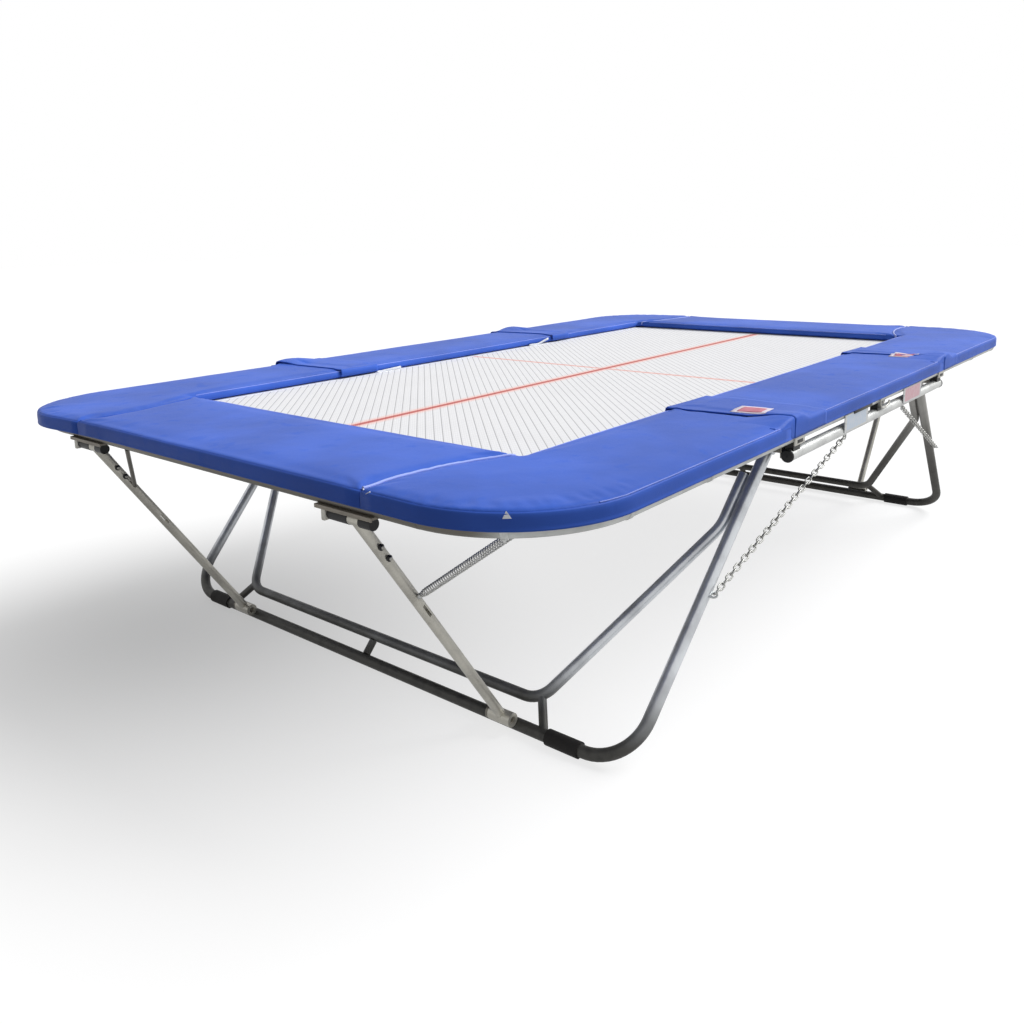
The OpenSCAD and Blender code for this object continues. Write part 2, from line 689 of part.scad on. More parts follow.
module link() {
    straight = link_len - 2 * link_half_w;
    for (s = [-1, 1]) translate([s * link_half_w, 0, link_half_w])
        cylinder(h = straight, d = link_wire, $fn = 24);
    translate([0, 0, link_half_w]) rotate([-90, 0, 0]) rotate_extrude(angle = 180)
        translate([link_half_w, 0]) circle(d = link_wire, $fn = 24);
    translate([0, 0, link_len - link_half_w]) rotate([90, 0, 0]) rotate_extrude(angle = 180)
        translate([link_half_w, 0]) circle(d = link_wire, $fn = 24);
}
module chain() {
    color("lightgray") along(anchor_pos, leg_eye_pos) for (i = [0:chain_links - 1])
        translate([0, 0, chain_play + i * link_pitch]) rotate([0, 0, i % 2 == 0 ? 90 : 0]) link();
}

// ---------------------------------------------------------------- pads

function pad_profile() = [
    // share of the way to the spine, height above the base
    [0.035, 0], [0, pad_t * 0.35], [0, pad_t * 0.75 - crown], [0.05, pad_t - crown],
    [0.3, pad_t - crown * 0.35], [0.75, pad_t]];
// The base and the top are each made of triangles round the hub, which sees the whole outline
module pad_form(outline, spine, hub) {
    n = len(outline);
    levels = pad_profile();
    points = [for (l = levels, p = outline) let (q = lerp(p, nearest_on(p, spine), l[0]))
        [q[0], q[1], pad_base + l[1]]];
    walls = [for (i = [0:len(levels) - 2], k = [0:n - 1])
        let (a = i * n + k, b = i * n + (k + 1) % n)
        each [[a, a + n, b], [b, a + n, b + n]]];
    high = (len(levels) - 1) * n;
    hubs = [[hub[0], hub[1], pad_base], [hub[0], hub[1], top_h]];
    base = [for (k = [0:n - 1]) [k, (k + 1) % n, len(points)]];
    top = [for (k = [0:n - 1]) [high + (k + 1) % n, high + k, len(points) + 1]];
    polyhedron(points = concat(points, hubs), faces = concat(base, walls, top), convexity = 4);
}
// A skirt hanging from a pad's outer edge, along the points of that edge
function inset_line(edge, by) =
    let (n = len(edge) - 1, start = unit(edge[1] - edge[0]), end = unit(edge[n] - edge[n - 1]))
    [for (i = [0:n])
        let (t = unit(edge[min(i + 1, n)] - edge[max(i - 1, 0)]))
        edge[i] + by * [-t[1], t[0]] + (i == 0 ? start : i == n ? -end : [0, 0])];
module skirt(edge) {
    outer = inset_line(edge, skirt_in);
    inner = inset_line(edge, skirt_in + skirt_t);
    translate([0, 0, top_h - skirt_drop]) linear_extrude(skirt_drop - pad_t - 0.1)
        polygon(concat(outer, [for (i = [len(inner) - 1:-1:0]) inner[i]]));
}
// A pad's corner steps back to leave room for the fold hinge
notch_x = lug_l + 3;
notch_y = rail_y - pocket_half;
pad_x = overall_l / 2;
pad_y = overall_w / 2;
pad_mid_y = (pad_y + opening_y) / 2;
pad_half_w = (pad_y - opening_y) / 2;
module middle_pad() {
    x = fold_x - pad_gap;
    end = fold_x - notch_x;
    outer = drawn_edge([-end, -pad_y], [end, -pad_y], 2 * edge_steps, outer_draw);
    color("royalblue") {
        pad_form(concat(
            drawn_edge([x, -opening_y], [-x, -opening_y], 2 * edge_steps),
            drawn_edge([-x, -opening_y], [-x, -notch_y]),
            [[-x, -notch_y], [-end, -notch_y]], outer,
            [[end, -pad_y], [end, -notch_y]],
            drawn_edge([x, -notch_y], [x, -opening_y])),
            [[-x + pad_half_w, -pad_mid_y], [x - pad_half_w, -pad_mid_y]], [0, -pad_mid_y]);
        skirt(concat(outer, [[end, -pad_y]]));
    }
}
module side_end_pad() {
    x = fold_x + pad_gap;
    end = fold_x + notch_x;
    cx = pad_x - pad_corner_r;
    cy = pad_y - pad_corner_r;
    outer = concat(
        drawn_edge([-pad_x, -end_pad_y - pad_gap], [-pad_x, -cy], end_steps, outer_draw / 3),
        arc_points([-cx, -cy], pad_corner_r, 180, 270),
        drawn_edge([-cx, -pad_y], [-end, -pad_y], edge_steps, outer_draw));
    color("royalblue") {
        pad_form(concat(
            drawn_edge([-x, -opening_y], [-opening_x, -opening_y]),
            drawn_edge([-opening_x, -opening_y], [-pad_x, -end_pad_y - pad_gap]),
            outer, [[-end, -pad_y], [-end, -notch_y]],
            drawn_edge([-x, -notch_y], [-x, -opening_y])),
            [[-x - pad_half_w, -pad_mid_y], [-cx + spine_in, -pad_mid_y],
             [-cx - spine_out, -cy - spine_in / 3], [-cx - 1.25 * spine_out, -cy + spine_in]],
            [-cx + spine_in, -pad_mid_y]);
        skirt(concat(outer, [[-end, -pad_y]]));
    }
}
module end_pad() {
    mid = (pad_x + opening_x) / 2;
    half = (pad_x - opening_x) / 2;
    in_y = opening_y - pad_gap;
    out_y = end_pad_y - pad_gap;
    color("royalblue") {
        pad_form(concat(
            drawn_edge([-opening_x, in_y], [-pad_x, out_y]),
            drawn_edge([-pad_x, out_y], [-pad_x, -out_y], 2 * edge_steps, outer_draw),
            drawn_edge([-pad_x, -out_y], [-opening_x, -in_y]),
            drawn_edge([-opening_x, -in_y], [-opening_x, in_y], 2 * edge_steps)),
            [[-mid, half - out_y], [-mid, out_y - half]], [-mid, 0]);
        skirt(concat(drawn_edge([-pad_x, out_y], [-pad_x, -out_y], 2 * edge_steps, outer_draw),
                     [[-pad_x, -out_y]]));
    }
}

// ---------------------------------------------------------------- the object

module right() { mirror([1, 0, 0]) children(); }
module back() { mirror([0, 1, 0]) children(); }

middle_rail(-1);  // middle_rail_front
middle_rail(1);  // middle_rail_back
side_tube(-1);  // side_tube_front
side_tube(1);  // side_tube_back
side_tube_caps();
side_blocks();
web_plates();
leg_hinge_brackets();
leg_hinge_pins();
fold_hinge_pins();
chain_anchors();
bed_piece(-fold_x + pad_gap, fold_x - pad_gap);  // middle_bed
middle_springs();
middle_pad();  // front_middle_pad
back() middle_pad();  // back_middle_pad
end_rail();  // left_end_rail
strut_saddles();  // left_strut_saddles
spring_eyes();  // left_spring_eyes
bed_piece(-bed_l / 2, -fold_x - pad_gap);  // left_bed
end_springs();  // left_springs
end_pad();  // left_end_pad
side_end_pad();  // left_front_pad
back() side_end_pad();  // left_back_pad
right() end_rail();  // right_end_rail
right() strut_saddles();  // right_strut_saddles
right() spring_eyes();  // right_spring_eyes
bed_piece(fold_x + pad_gap, bed_l / 2);  // right_bed
right() end_springs();  // right_springs
right() end_pad();  // right_end_pad
right() side_end_pad();  // right_front_pad
right() back() side_end_pad();  // right_back_pad
leg_outer_tube();  // left_leg_outer_tube
leg_inner_tube();  // left_leg_inner_tube
leg_ties();  // left_leg_ties
foot_sleeves();  // left_foot_sleeves
strut_spindles();  // left_strut_spindles
chain_eyes();  // left_chain_eyes
right() leg_outer_tube();  // right_leg_outer_tube
right() leg_inner_tube();  // right_leg_inner_tube
right() leg_ties();  // right_leg_ties
right() foot_sleeves();  // right_foot_sleeves
right() strut_spindles();  // right_strut_spindles
right() chain_eyes();  // right_chain_eyes
strut(-1);  // left_front_strut
strut(1);  // left_back_strut
right() strut(-1);  // right_front_strut
right() strut(1);  // right_back_strut
strut_grips(-1);  // left_front_strut_grips
strut_grips(1);  // left_back_strut_grips
right() strut_grips(-1);  // right_front_strut_grips
right() strut_grips(1);  // right_back_strut_grips
strut_spring();  // left_front_strut_spring
back() strut_spring();  // left_back_strut_spring
right() strut_spring();  // right_front_strut_spring
right() back() strut_spring();  // right_back_strut_spring
chain();  // left_front_chain
back() chain();  // left_back_chain
right() chain();  // right_front_chain
right() back() chain();  // right_back_chain
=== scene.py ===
"""Looks of a folding rectangular trampoline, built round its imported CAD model.

The tubes, legs, struts and saddles keep their CAD shapes and get metal, rubber and plastic
finishes. The pads, the bed, the springs, the chains and the small trim are made here.
All lengths are in metres, in the CAD model's own frame: +X along the bed, +Z up. Left is -X and
front is -Y. A piece of one quarter is drawn for the front left and mirrored from there.
"""

import json
import logging
import math
from dataclasses import dataclass, field
from enum import Enum
from functools import cache
from typing import Iterable, NamedTuple, Sequence

import bmesh
import bpy
import numpy as np
from mathutils import Matrix, Vector, noise
from mathutils.bvhtree import BVHTree

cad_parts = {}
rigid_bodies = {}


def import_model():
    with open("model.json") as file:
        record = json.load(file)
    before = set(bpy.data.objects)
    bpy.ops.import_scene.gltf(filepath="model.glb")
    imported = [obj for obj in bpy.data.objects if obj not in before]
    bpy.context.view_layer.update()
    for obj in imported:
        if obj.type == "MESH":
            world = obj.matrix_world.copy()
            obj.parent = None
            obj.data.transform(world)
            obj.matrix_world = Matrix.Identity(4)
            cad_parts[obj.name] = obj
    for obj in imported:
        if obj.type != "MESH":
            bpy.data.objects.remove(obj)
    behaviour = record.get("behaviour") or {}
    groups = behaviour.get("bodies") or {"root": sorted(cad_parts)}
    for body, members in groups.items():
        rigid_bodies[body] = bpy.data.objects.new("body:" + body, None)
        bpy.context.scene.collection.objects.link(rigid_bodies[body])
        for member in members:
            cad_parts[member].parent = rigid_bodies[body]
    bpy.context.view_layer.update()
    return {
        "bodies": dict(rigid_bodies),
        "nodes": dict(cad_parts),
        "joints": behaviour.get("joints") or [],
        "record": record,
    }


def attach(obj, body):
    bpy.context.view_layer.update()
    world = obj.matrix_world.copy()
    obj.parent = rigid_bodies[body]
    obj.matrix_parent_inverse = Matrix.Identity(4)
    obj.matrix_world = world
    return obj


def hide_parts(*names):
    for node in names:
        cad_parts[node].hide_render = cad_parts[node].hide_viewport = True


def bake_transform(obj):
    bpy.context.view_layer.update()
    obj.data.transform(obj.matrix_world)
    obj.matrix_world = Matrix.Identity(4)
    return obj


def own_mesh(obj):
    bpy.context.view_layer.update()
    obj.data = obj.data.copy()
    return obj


LOG = logging.getLogger("trampoline")
Point = Sequence[float]
Pair = tuple[float, float]
Triple = tuple[float, float, float]
Colour = tuple[int, int, int]
Material = bpy.types.Material
Mesh = bmesh.types.BMesh
Object = bpy.types.Object
Socket = bpy.types.NodeSocket

TOP = 0.985  # the pads' top
PAD_BASE = 0.9453  # the pads' underside
PAD_SOFT = PAD_BASE + 0.012  # from here up a pad's cover gives
HALF_L, HALF_W = 2.285, 1.35  # half the size over the pads
OPEN_X, OPEN_Y = 1.760, 0.889  # half the opening
FOLD_X = 0.890  # the hinge lines
RAIL_X, RAIL_Y, RAIL_Z = 2.259, 1.324, 0.924  # the rails' middle lines
TUBE_R = 0.021  # the rails' radius
ABOVE = 1.1  # a height over everything, to look down from
DOWN = Vector((0, 0, -1))
UP = Vector((0, 0, 1))


class End(Enum):
    """The two ends of the trampoline, by the sign of their X."""

    LEFT = -1
    RIGHT = 1

    @property
    def word(self) -> str:
        """The end as a piece's name has it."""
        return self.name.lower()

    @property
    def frame(self) -> str:
        """The body of the end's frame."""
        return f"{self.word}_end_frame"


class Flank(Enum):
    """The two long sides, by the sign of their Y."""

    FRONT = -1
    BACK = 1

    @property
    def word(self) -> str:
        """The side as a piece's name has it."""
        return self.name.lower()


class Quarter(NamedTuple):
    """One quarter of the trampoline."""

    end: End
    flank: Flank

    @property
    def word(self) -> str:
        """The quarter as a piece's name has it."""
        return f"{self.end.word}_{self.flank.word}"

    @property
    def ways(self) -> tuple[int, int]:
        """The signs that mirror the front left into this quarter."""
        return (-self.end.value, -self.flank.value)

    def turned(self, point: Point) -> Vector:
        """Where a point of the front left lies in this quarter."""
        return Vector((point[0] * self.ways[0], point[1] * self.ways[1], point[2]))


QUARTERS = [Quarter(end, flank) for end in End for flank in Flank]
MIDDLE = "middle_frame"


def clamp(value: float) -> float:
    """A value kept between 0 and 1."""
    return min(1.0, max(0.0, value))


def ease(value: float) -> float:
    """A smooth step from 0 to 1."""
    return value * value * (3 - 2 * value)


def shade(colour: Colour, share: float = 1.0, add: float = 0.0) -> tuple[float, ...]:
    """Turns screen values into the linear colour that shaders take.

    Args:
        colour: Red, green and blue, from 0 to 255.
        share: What they are multiplied by first.
        add: What is then added.

    Returns:
        The linear colour with its alpha.
    """
    linear = []
    for value in colour:
        part = min(255, round(value * share + add)) / 255
        linear.append(part / 12.92 if part <= 0.04045 else ((part + 0.055) / 1.055) ** 2.4)
    return (*linear, 1.0)


# ---------------------------------------------------------------- node trees


class Nodes:
    """A node tree, built node by node."""

    def __init__(self, owner: bpy.types.ID) -> None:
        """Starts with the owner's tree, emptied."""
        owner.use_nodes = True
        self.tree = owner.node_tree
        self.tree.nodes.clear()

    def add(self, kind: str, inputs: dict | None = None, **settings: object) -> bpy.types.Node:
        """Adds a node.

        Args:
            kind: The node's type.
            inputs: What each input takes, a value or another node's socket.
            settings: Its properties.

        Returns:
            The new node.
        """
        node = self.tree.nodes.new(kind)
        for key, value in settings.items():
            setattr(node, key, value)
        for key, value in (inputs or {}).items():
            self.feed(node.inputs[key], value)
        return node

    def feed(self, socket: Socket, value: object) -> None:
        """Gives a socket a value or a link."""
        if isinstance(value, Socket):
            self.tree.links.new(value, socket)
        else:
            socket.default_value = value

    def calc(self, operation: str, a: object, b: object = 0.0, c: object = 0.0) -> Socket:
        """A sum on one, two or three numbers."""
        inputs = {0: a, 1: b, 2: c}
        return self.add("ShaderNodeMath", inputs, operation=operation).outputs[0]

    def times(self, a: object, b: object) -> Socket:
        """One number times another."""
        return self.calc("MULTIPLY", a, b)

    def slope(self, value: object, rise: float, start: float) -> Socket:
        """A number times a rise, plus a start."""
        return self.calc("MULTIPLY_ADD", value, rise, start)

    def off(self, value: object, centre: object = 0.0) -> Socket:
        """How far a number is from a centre."""
        return self.calc("ABSOLUTE", self.calc("SUBTRACT", value, centre))

    def ramp(
        self, value: object, source: Pair, target: tuple = (0.0, 1.0), shape: str = "LINEAR"
    ) -> Socket:
        """Carries a number from one range over to another.

        Args:
            value: The number.
            source: The range that it comes from.
            target: What the ends of that range become.
            shape: How it goes from one end to the other.

        Returns:
            The new number.
        """
        keys = ("Value", "From Min", "From Max", "To Min", "To Max")
        inputs = dict(zip(keys, (value, *source, *target)))
        return self.add("ShaderNodeMapRange", inputs, interpolation_type=shape).outputs["Result"]

    def band(self, value: object, low: float, high: float) -> Socket:
        """Goes smoothly from 0 at low to 1 at high."""
        return self.ramp(value, (low, high), shape="SMOOTHSTEP")

    def seen_directly(self, gloss: float = 0.8) -> Socket:
        """1 for what the camera or glass sees, less for gloss, 0 for what lights a surface."""
        path = self.add("ShaderNodeLightPath").outputs
        most = self.calc("MAXIMUM", path["Is Camera Ray"], self.times(path["Is Glossy Ray"], gloss))
        return self.calc("MAXIMUM", most, path["Is Transmission Ray"])


class Graph(Nodes):
    """A material's tree round one Principled shader, placed by the piece's own coordinates."""

    def __init__(self, name: str) -> None:
        """Starts the tree with its shader and output."""
        self.material = bpy.data.materials.new(name)
        super().__init__(self.material)
        self.shader = self.add("ShaderNodeBsdfPrincipled")
        self.add("ShaderNodeOutputMaterial", {"Surface": self.shader.outputs["BSDF"]})
        self.place = self.add("ShaderNodeTexCoord").outputs["Object"]

    def noise(self, scale: float, detail: float) -> Socket:
        """Smooth noise, from 0 to 1."""
        inputs = {"Scale": scale, "Detail": detail, "Vector": self.place}
        return self.add("ShaderNodeTexNoise", inputs).outputs["Fac"]

    def patchy(self, scale: float, detail: float, low: float, high: float) -> Socket:
        """Noise with its contrast raised: 0 below low and 1 above high."""
        return self.band(self.noise(scale, detail), low, high)

    def cells(self, scale: float) -> Socket:
        """Distance within cells, for grain and spangle."""
        inputs = {"Scale": scale, "Vector": self.place}
        return self.add("ShaderNodeTexVoronoi", inputs).outputs["Distance"]

    def axis(self, name: str) -> Socket:
        """One coordinate of the piece's own place."""
        return self.add("ShaderNodeSeparateXYZ", {"Vector": self.place}).outputs[name]

    def waves(self, coordinate: Socket, pitch: float) -> Socket:
        """A wave along one coordinate, from -1 to 1."""
        return self.calc("SINE", self.times(coordinate, 2 * math.pi / pitch))

    def repeats(self, coordinate: Socket, pitch: float) -> Socket:
        """Goes from 0 to 1 again and again along one coordinate."""
        return self.calc("FRACT", self.calc("DIVIDE", coordinate, pitch))

    def stripes(self, coordinate: Socket, pitch: float) -> Socket:
        """How far a place is from the middle of its stripe, up to 0.5."""
        return self.off(self.repeats(coordinate, pitch), 0.5)

    def blend(self, factor: object, a: object, b: object, share: float = 1.0) -> Socket:
        """Mixes two colours.

        Args:
            factor: How much of the second one.
            a: The first colour.
            b: The second colour.
            share: What the factor is multiplied by.

        Returns:
            The mixed colour.
        """
        factor = factor if share == 1.0 else self.times(factor, share)
        inputs = {"Factor": factor, 6: a, 7: b}
        return self.add("ShaderNodeMix", inputs, data_type="RGBA").outputs[2]

    def bump(self, height: object, depth: float, under: Socket | None = None) -> Socket:
        """A relief of the given depth in metres, over another one."""
        inputs = {"Strength": 1.0, "Distance": depth, "Height": height}
        if under is not None:
            inputs["Normal"] = under
        return self.add("ShaderNodeBump", inputs).outputs["Normal"]

    def pitted(self, fine: float, fine_depth: float, broad: float, broad_depth: float) -> Socket:
        """A fine relief over a broad one, by the scales and depths of both."""
        under = self.bump(self.noise(broad, 2), broad_depth)
        return self.bump(self.noise(fine, 3), fine_depth, under)

    def finish(self, **sockets: object) -> Material:
        """Sets the shader's inputs, with underscores for spaces, and gives the material."""
        for key, value in sockets.items():
            self.feed(self.shader.inputs[key.replace("_", " ")], value)
        return self.material


# ---------------------------------------------------------------- finishes


@dataclass(frozen=True)
class Finish:
    """What a surface is made of, and its material's name."""

    name: str

    def build(self) -> Material:
        """Builds the material."""
        raise NotImplementedError


@dataclass(frozen=True)
class ZincTube(Finish):
    """Galvanised steel: pale grey, lightly spangled, scuffed here and there."""

    colour: Colour
    roughness: float = 0.36
    metal: float = 0.55
    dulled: float = 0.86

    def build(self) -> Material:
        """Builds the material."""
        g = Graph(self.name)
        clouds = g.patchy(9, 4, 0.35, 0.7)
        tone = g.blend(clouds, shade(self.colour), shade(self.colour, self.dulled))
        tone = g.blend(g.cells(160), tone, shade(self.colour, add=22), share=0.35)
        rough = g.slope(g.patchy(55, 6, 0.62, 0.72), 0.22, self.roughness)
        relief = g.pitted(420, 0.00012, 30, 0.0004)
        return g.finish(Base_Color=tone, Metallic=self.metal, Roughness=rough, Normal=relief)


@dataclass(frozen=True)
class EndRailZinc(Finish):
    """Galvanised end rails, with painted shade across the ends and pale along the sides."""

    dull: Colour
    pale: Colour
    span: Pair
    dulled: float = 0.88

    def build(self) -> Material:
        """Builds the material."""
        g = Graph(self.name)
        # Painted shade: past the span in X, across the ends, the rail takes the shaded colour.
        outside = g.band(g.off(g.axis("X")), *self.span)
        clouds = g.patchy(9, 4, 0.35, 0.7)
        pale = g.blend(clouds, shade(self.pale), shade(self.pale, self.dulled))
        tone = g.blend(outside, pale, shade(self.dull))
        relief = g.pitted(420, 0.00012, 30, 0.0004)
        return g.finish(Base_Color=tone, Metallic=0.5, Roughness=0.4, Normal=relief)


@dataclass(frozen=True)
class LegTube(Finish):
    """Galvanised leg tubes, dark with painted shade low down and pale above."""

    low: Colour
    high: Colour
    span: Pair

    def build(self) -> Material:
        """Builds the material."""
        g = Graph(self.name)
        # Painted shade: the colour darkens towards the floor below the span in height, its edge
        # broken by noise.
        height = g.calc("ADD", g.axis("Z"), g.slope(g.noise(6, 3), 0.08, -0.04))
        upper_share = g.band(height, *self.span)
        shaded_low = g.blend(g.patchy(26, 5, 0.4, 0.7), shade(self.low), shade(self.low, 0.8))
        upper_tone = g.blend(g.patchy(10, 4, 0.35, 0.7), shade(self.high), shade(self.high, 0.88))
        return g.finish(
            Base_Color=g.blend(upper_share, shaded_low, upper_tone),
            Metallic=g.slope(upper_share, 0.35, 0.25),
            Roughness=g.slope(upper_share, -0.2, 0.52),
            Normal=g.pitted(380, 0.00014, 28, 0.0005),
        )


@dataclass(frozen=True)
class Moulding(Finish):
    """Black plastic or rubber, matt and finely pebbled."""

    colour: Colour
    roughness: float
    grain: float
    depth: float
    gloss: float = 0.35

    def build(self) -> Material:
        """Builds the material."""
        g = Graph(self.name)
        dust = g.patchy(22, 5, 0.5, 0.8)
        return g.finish(
            Base_Color=g.blend(dust, shade(self.colour), shade(self.colour, add=26), share=0.6),
            Roughness=g.slope(dust, 0.15, self.roughness),
            Normal=g.bump(g.cells(self.grain), self.depth),
            Specular_IOR_Level=self.gloss,
        )


@dataclass(frozen=True)
class Vinyl(Finish):
    """Coated cover cloth: a fine grain, soft broad ripples and a low gloss."""

    colour: Colour
    roughness: float = 0.46
    gloss: float = 0.12

    def build(self) -> Material:
        """Builds the material."""
        g = Graph(self.name)
        faded = shade(self.colour, 1.05, 3)
        tone = g.blend(g.patchy(2.3, 3, 0.3, 0.75), shade(self.colour, 0.93), faded)
        rubbed = g.patchy(17, 6, 0.56, 0.74)
        tone = g.blend(rubbed, tone, faded, share=0.25)
        ripples = g.bump(g.noise(7.5, 2), 0.0016)
        grain = g.bump(g.cells(520), 0.00016, g.bump(g.noise(60, 3), 0.0003, ripples))
        return g.finish(
            Base_Color=tone,
            Roughness=g.slope(rubbed, 0.1, self.roughness),
            Normal=grain,
            Specular_IOR_Level=self.gloss,
        )


@dataclass(frozen=True)
class WovenBed(Finish):
    """The bed's white webbing: bands both ways, diagonal gap lines and red centre lines; the grey
    of the gaps is painted shade.
    """

    white: Colour = (246, 246, 248)
    gap: Colour = (146, 146, 150)
    grime: Colour = (190, 190, 190)
    red: Colour = (190, 70, 64)
    halo: Colour = (250, 198, 188)
    band: float = 0.0106
    diagonal: float = 0.030
    line_half: float = 0.015
    cross_half: float = 0.009
    edge: float = 0.003
    line_glow: Pair = (0.052, 0.018)
    cross_glow: Pair = (0.026, 0.008)
    dash: float = 0.055

    def build(self) -> Material:
        """Builds the material."""
        g = Graph(self.name)
        x, y = g.axis("X"), g.axis("Y")
        weave = g.times(*(g.slope(g.waves(axis, self.band), 0.5, 0.5) for axis in (x, y)))
        # Painted shade: the grey gap colour darkens the gaps between the bands and along the
        # diagonal lines.
        gap = shade(self.gap)
        line = g.band(g.stripes(g.calc("SUBTRACT", x, y), self.diagonal * math.sqrt(2)), 0.41, 0.48)
        rows = g.band(g.stripes(y, self.band), 0.2, 0.5)
        columns = g.band(g.stripes(x, self.band * 2), 0.3, 0.5)
        tone = g.blend(rows, shade(self.white), gap, share=0.22)
        tone = g.blend(columns, tone, gap, share=0.12)
        tone = g.blend(line, tone, gap, share=0.66)
        tone = g.blend(g.patchy(3.1, 4, 0.45, 0.75), tone, shade(self.grime), share=0.05)
        along = g.band(g.off(y), self.line_half, self.line_half - self.edge)
        across = g.band(g.off(x), self.cross_half, self.cross_half - self.edge)
        dashes = g.slope(g.band(g.repeats(y, self.dash), 0.1, 0.25), 0.35, 0.2)
        marks = g.calc("MAXIMUM", along, g.times(across, dashes))
        glows = (g.band(g.off(y), *self.line_glow), g.band(g.off(x), *self.cross_glow))
        glow = g.calc("MAXIMUM", *glows)
        tone = g.blend(glow, tone, shade(self.halo), share=0.7)
        tone = g.blend(g.times(marks, g.slope(weave, 0.12, 0.8)), tone, shade(self.red))
        relief = g.bump(weave, 0.0007, g.bump(g.calc("SUBTRACT", 1.0, line), 0.0006))
        return g.finish(Base_Color=tone, Roughness=0.72, Normal=relief, Specular_IOR_Level=0.25)


@dataclass(frozen=True)
class PlainCloth(Finish):
    """Plain woven cloth, for tapes, hems and sewn patches."""

    colour: Colour
    thread: float = 0.0012

    def build(self) -> Material:
        """Builds the material."""
        g = Graph(self.name)
        threads = [g.waves(g.axis(name), self.thread) for name in "XYZ"]
        weave = g.times(g.times(threads[0], threads[1]), threads[2])
        tone = g.blend(g.patchy(40, 4, 0.4, 0.8), shade(self.colour), shade(self.colour, add=14))
        return g.finish(Base_Color=tone, Roughness=0.85, Normal=g.bump(weave, 0.0001))


@dataclass(frozen=True)
class SpringWire(Finish):
    """Plated spring barrels, their close curls drawn as fine bands along one axis, darker between
    the curls as painted shade.
    """

    along: str
    colour: Colour = (176, 176, 172)
    rust: Colour = (120, 104, 88)
    pitch: float = 0.0032

    def build(self) -> Material:
        """Builds the material."""
        g = Graph(self.name)
        curls = g.slope(g.waves(g.axis(self.along), self.pitch), 0.5, 0.5)
        # Painted shade: the colour darkens between the curls.
        tone = g.blend(curls, shade(self.colour, 0.45), shade(self.colour))
        tone = g.blend(g.patchy(70, 4, 0.6, 0.8), tone, shade(self.rust), share=0.3)
        return g.finish(Base_Color=tone, Metallic=0.7, Roughness=0.34, Normal=g.bump(curls, 0.0012))


@dataclass(frozen=True)
class PlainPlate(Finish):
    """Painted steel plates on the side tubes: pale blue to the left, pale red to the right."""

    left: Colour = (206, 220, 236)
    right: Colour = (222, 172, 182)
    rim: Colour = (222, 224, 224)
    mottle: Colour = (236, 232, 234)
    left_middle: float = -0.295
    apart: float = 0.70
    height: float = 0.890
    wide: Pair = (0.108, 0.102)
    high: Pair = (0.030, 0.027)

    def build(self) -> Material:
        """Builds the material."""
        g = Graph(self.name)
        side = g.band(g.axis("X"), -0.01, 0.01)
        paint = g.blend(side, shade(self.left), shade(self.right))
        paint = g.blend(g.patchy(60, 4, 0.35, 0.7), paint, shade(self.mottle), share=0.3)
        beside = g.off(g.axis("X"), g.slope(side, self.apart, self.left_middle))
        above = g.off(g.axis("Z"), self.height)
        inside = g.times(g.band(beside, *self.wide), g.band(above, *self.high))
        tone = g.blend(inside, shade(self.rim), paint)
        relief = g.bump(g.noise(300, 3), 0.0001)
        return g.finish(Base_Color=tone, Metallic=0.1, Roughness=0.42, Normal=relief)


@dataclass(frozen=True)
class FloorWhite(Finish):
    """The floor's white, dimmer to the eye in a soft round painted shadow, and grey to what it
    lights.
    """

    glow: float = 0.68
    high: float = 1.11
    low: float = 0.60
    middle: Triple = (-2.0, 1.0, 0.0)
    reach: float = 1.9
    lit: tuple[float, ...] = (1, 1, 1, 1)
    dim: tuple[float, ...] = (0.26, 0.26, 0.26, 1)

    def build(self) -> Material:
        """Builds the material."""
        material = bpy.data.materials.new(self.name)
        n = Nodes(material)
        lit = n.add("ShaderNodeBsdfDiffuse", {"Color": self.lit}).outputs[0]
        glow = n.add("ShaderNodeEmission", {"Strength": self.brightness(n)}).outputs[0]
        shown = n.add("ShaderNodeMixShader", {"Fac": self.glow, 1: lit, 2: glow}).outputs[0]
        dim = n.add("ShaderNodeBsdfDiffuse", {"Color": self.dim}).outputs[0]
        pick = n.add("ShaderNodeMixShader", {"Fac": n.seen_directly(), 1: dim, 2: shown}).outputs[0]
        n.add("ShaderNodeOutputMaterial", {"Surface": pick})
        return material

    def brightness(self, n: Nodes) -> Socket:
        """How bright the floor looks from place to place, dimmer in a round painted shadow."""
        place = n.add("ShaderNodeTexCoord").outputs["Object"]
        moved = n.add("ShaderNodeVectorMath", {0: place, 1: self.middle}, operation="SUBTRACT")
        inputs = {0: moved.outputs[0], "Scale": 1 / self.reach}
        scaled = n.add("ShaderNodeVectorMath", inputs, operation="SCALE")
        inputs = {"Vector": scaled.outputs[0]}
        ball = n.add("ShaderNodeTexGradient", inputs, gradient_type="SPHERICAL").outputs["Fac"]
        return n.ramp(ball, (0, 1), (self.high, self.low), "SMOOTHSTEP")


@cache
def material_of(finish: Finish) -> Material:
    """The material of a finish, built the first time it is asked for."""
    return finish.build()


ZINC = ZincTube("zinc_tube", (216, 218, 216))
# The end rails' first colour is painted shade across the ends.
END_RAIL = EndRailZinc("end_rail_zinc", (112, 108, 100), (216, 218, 216), (2.19, 2.25))
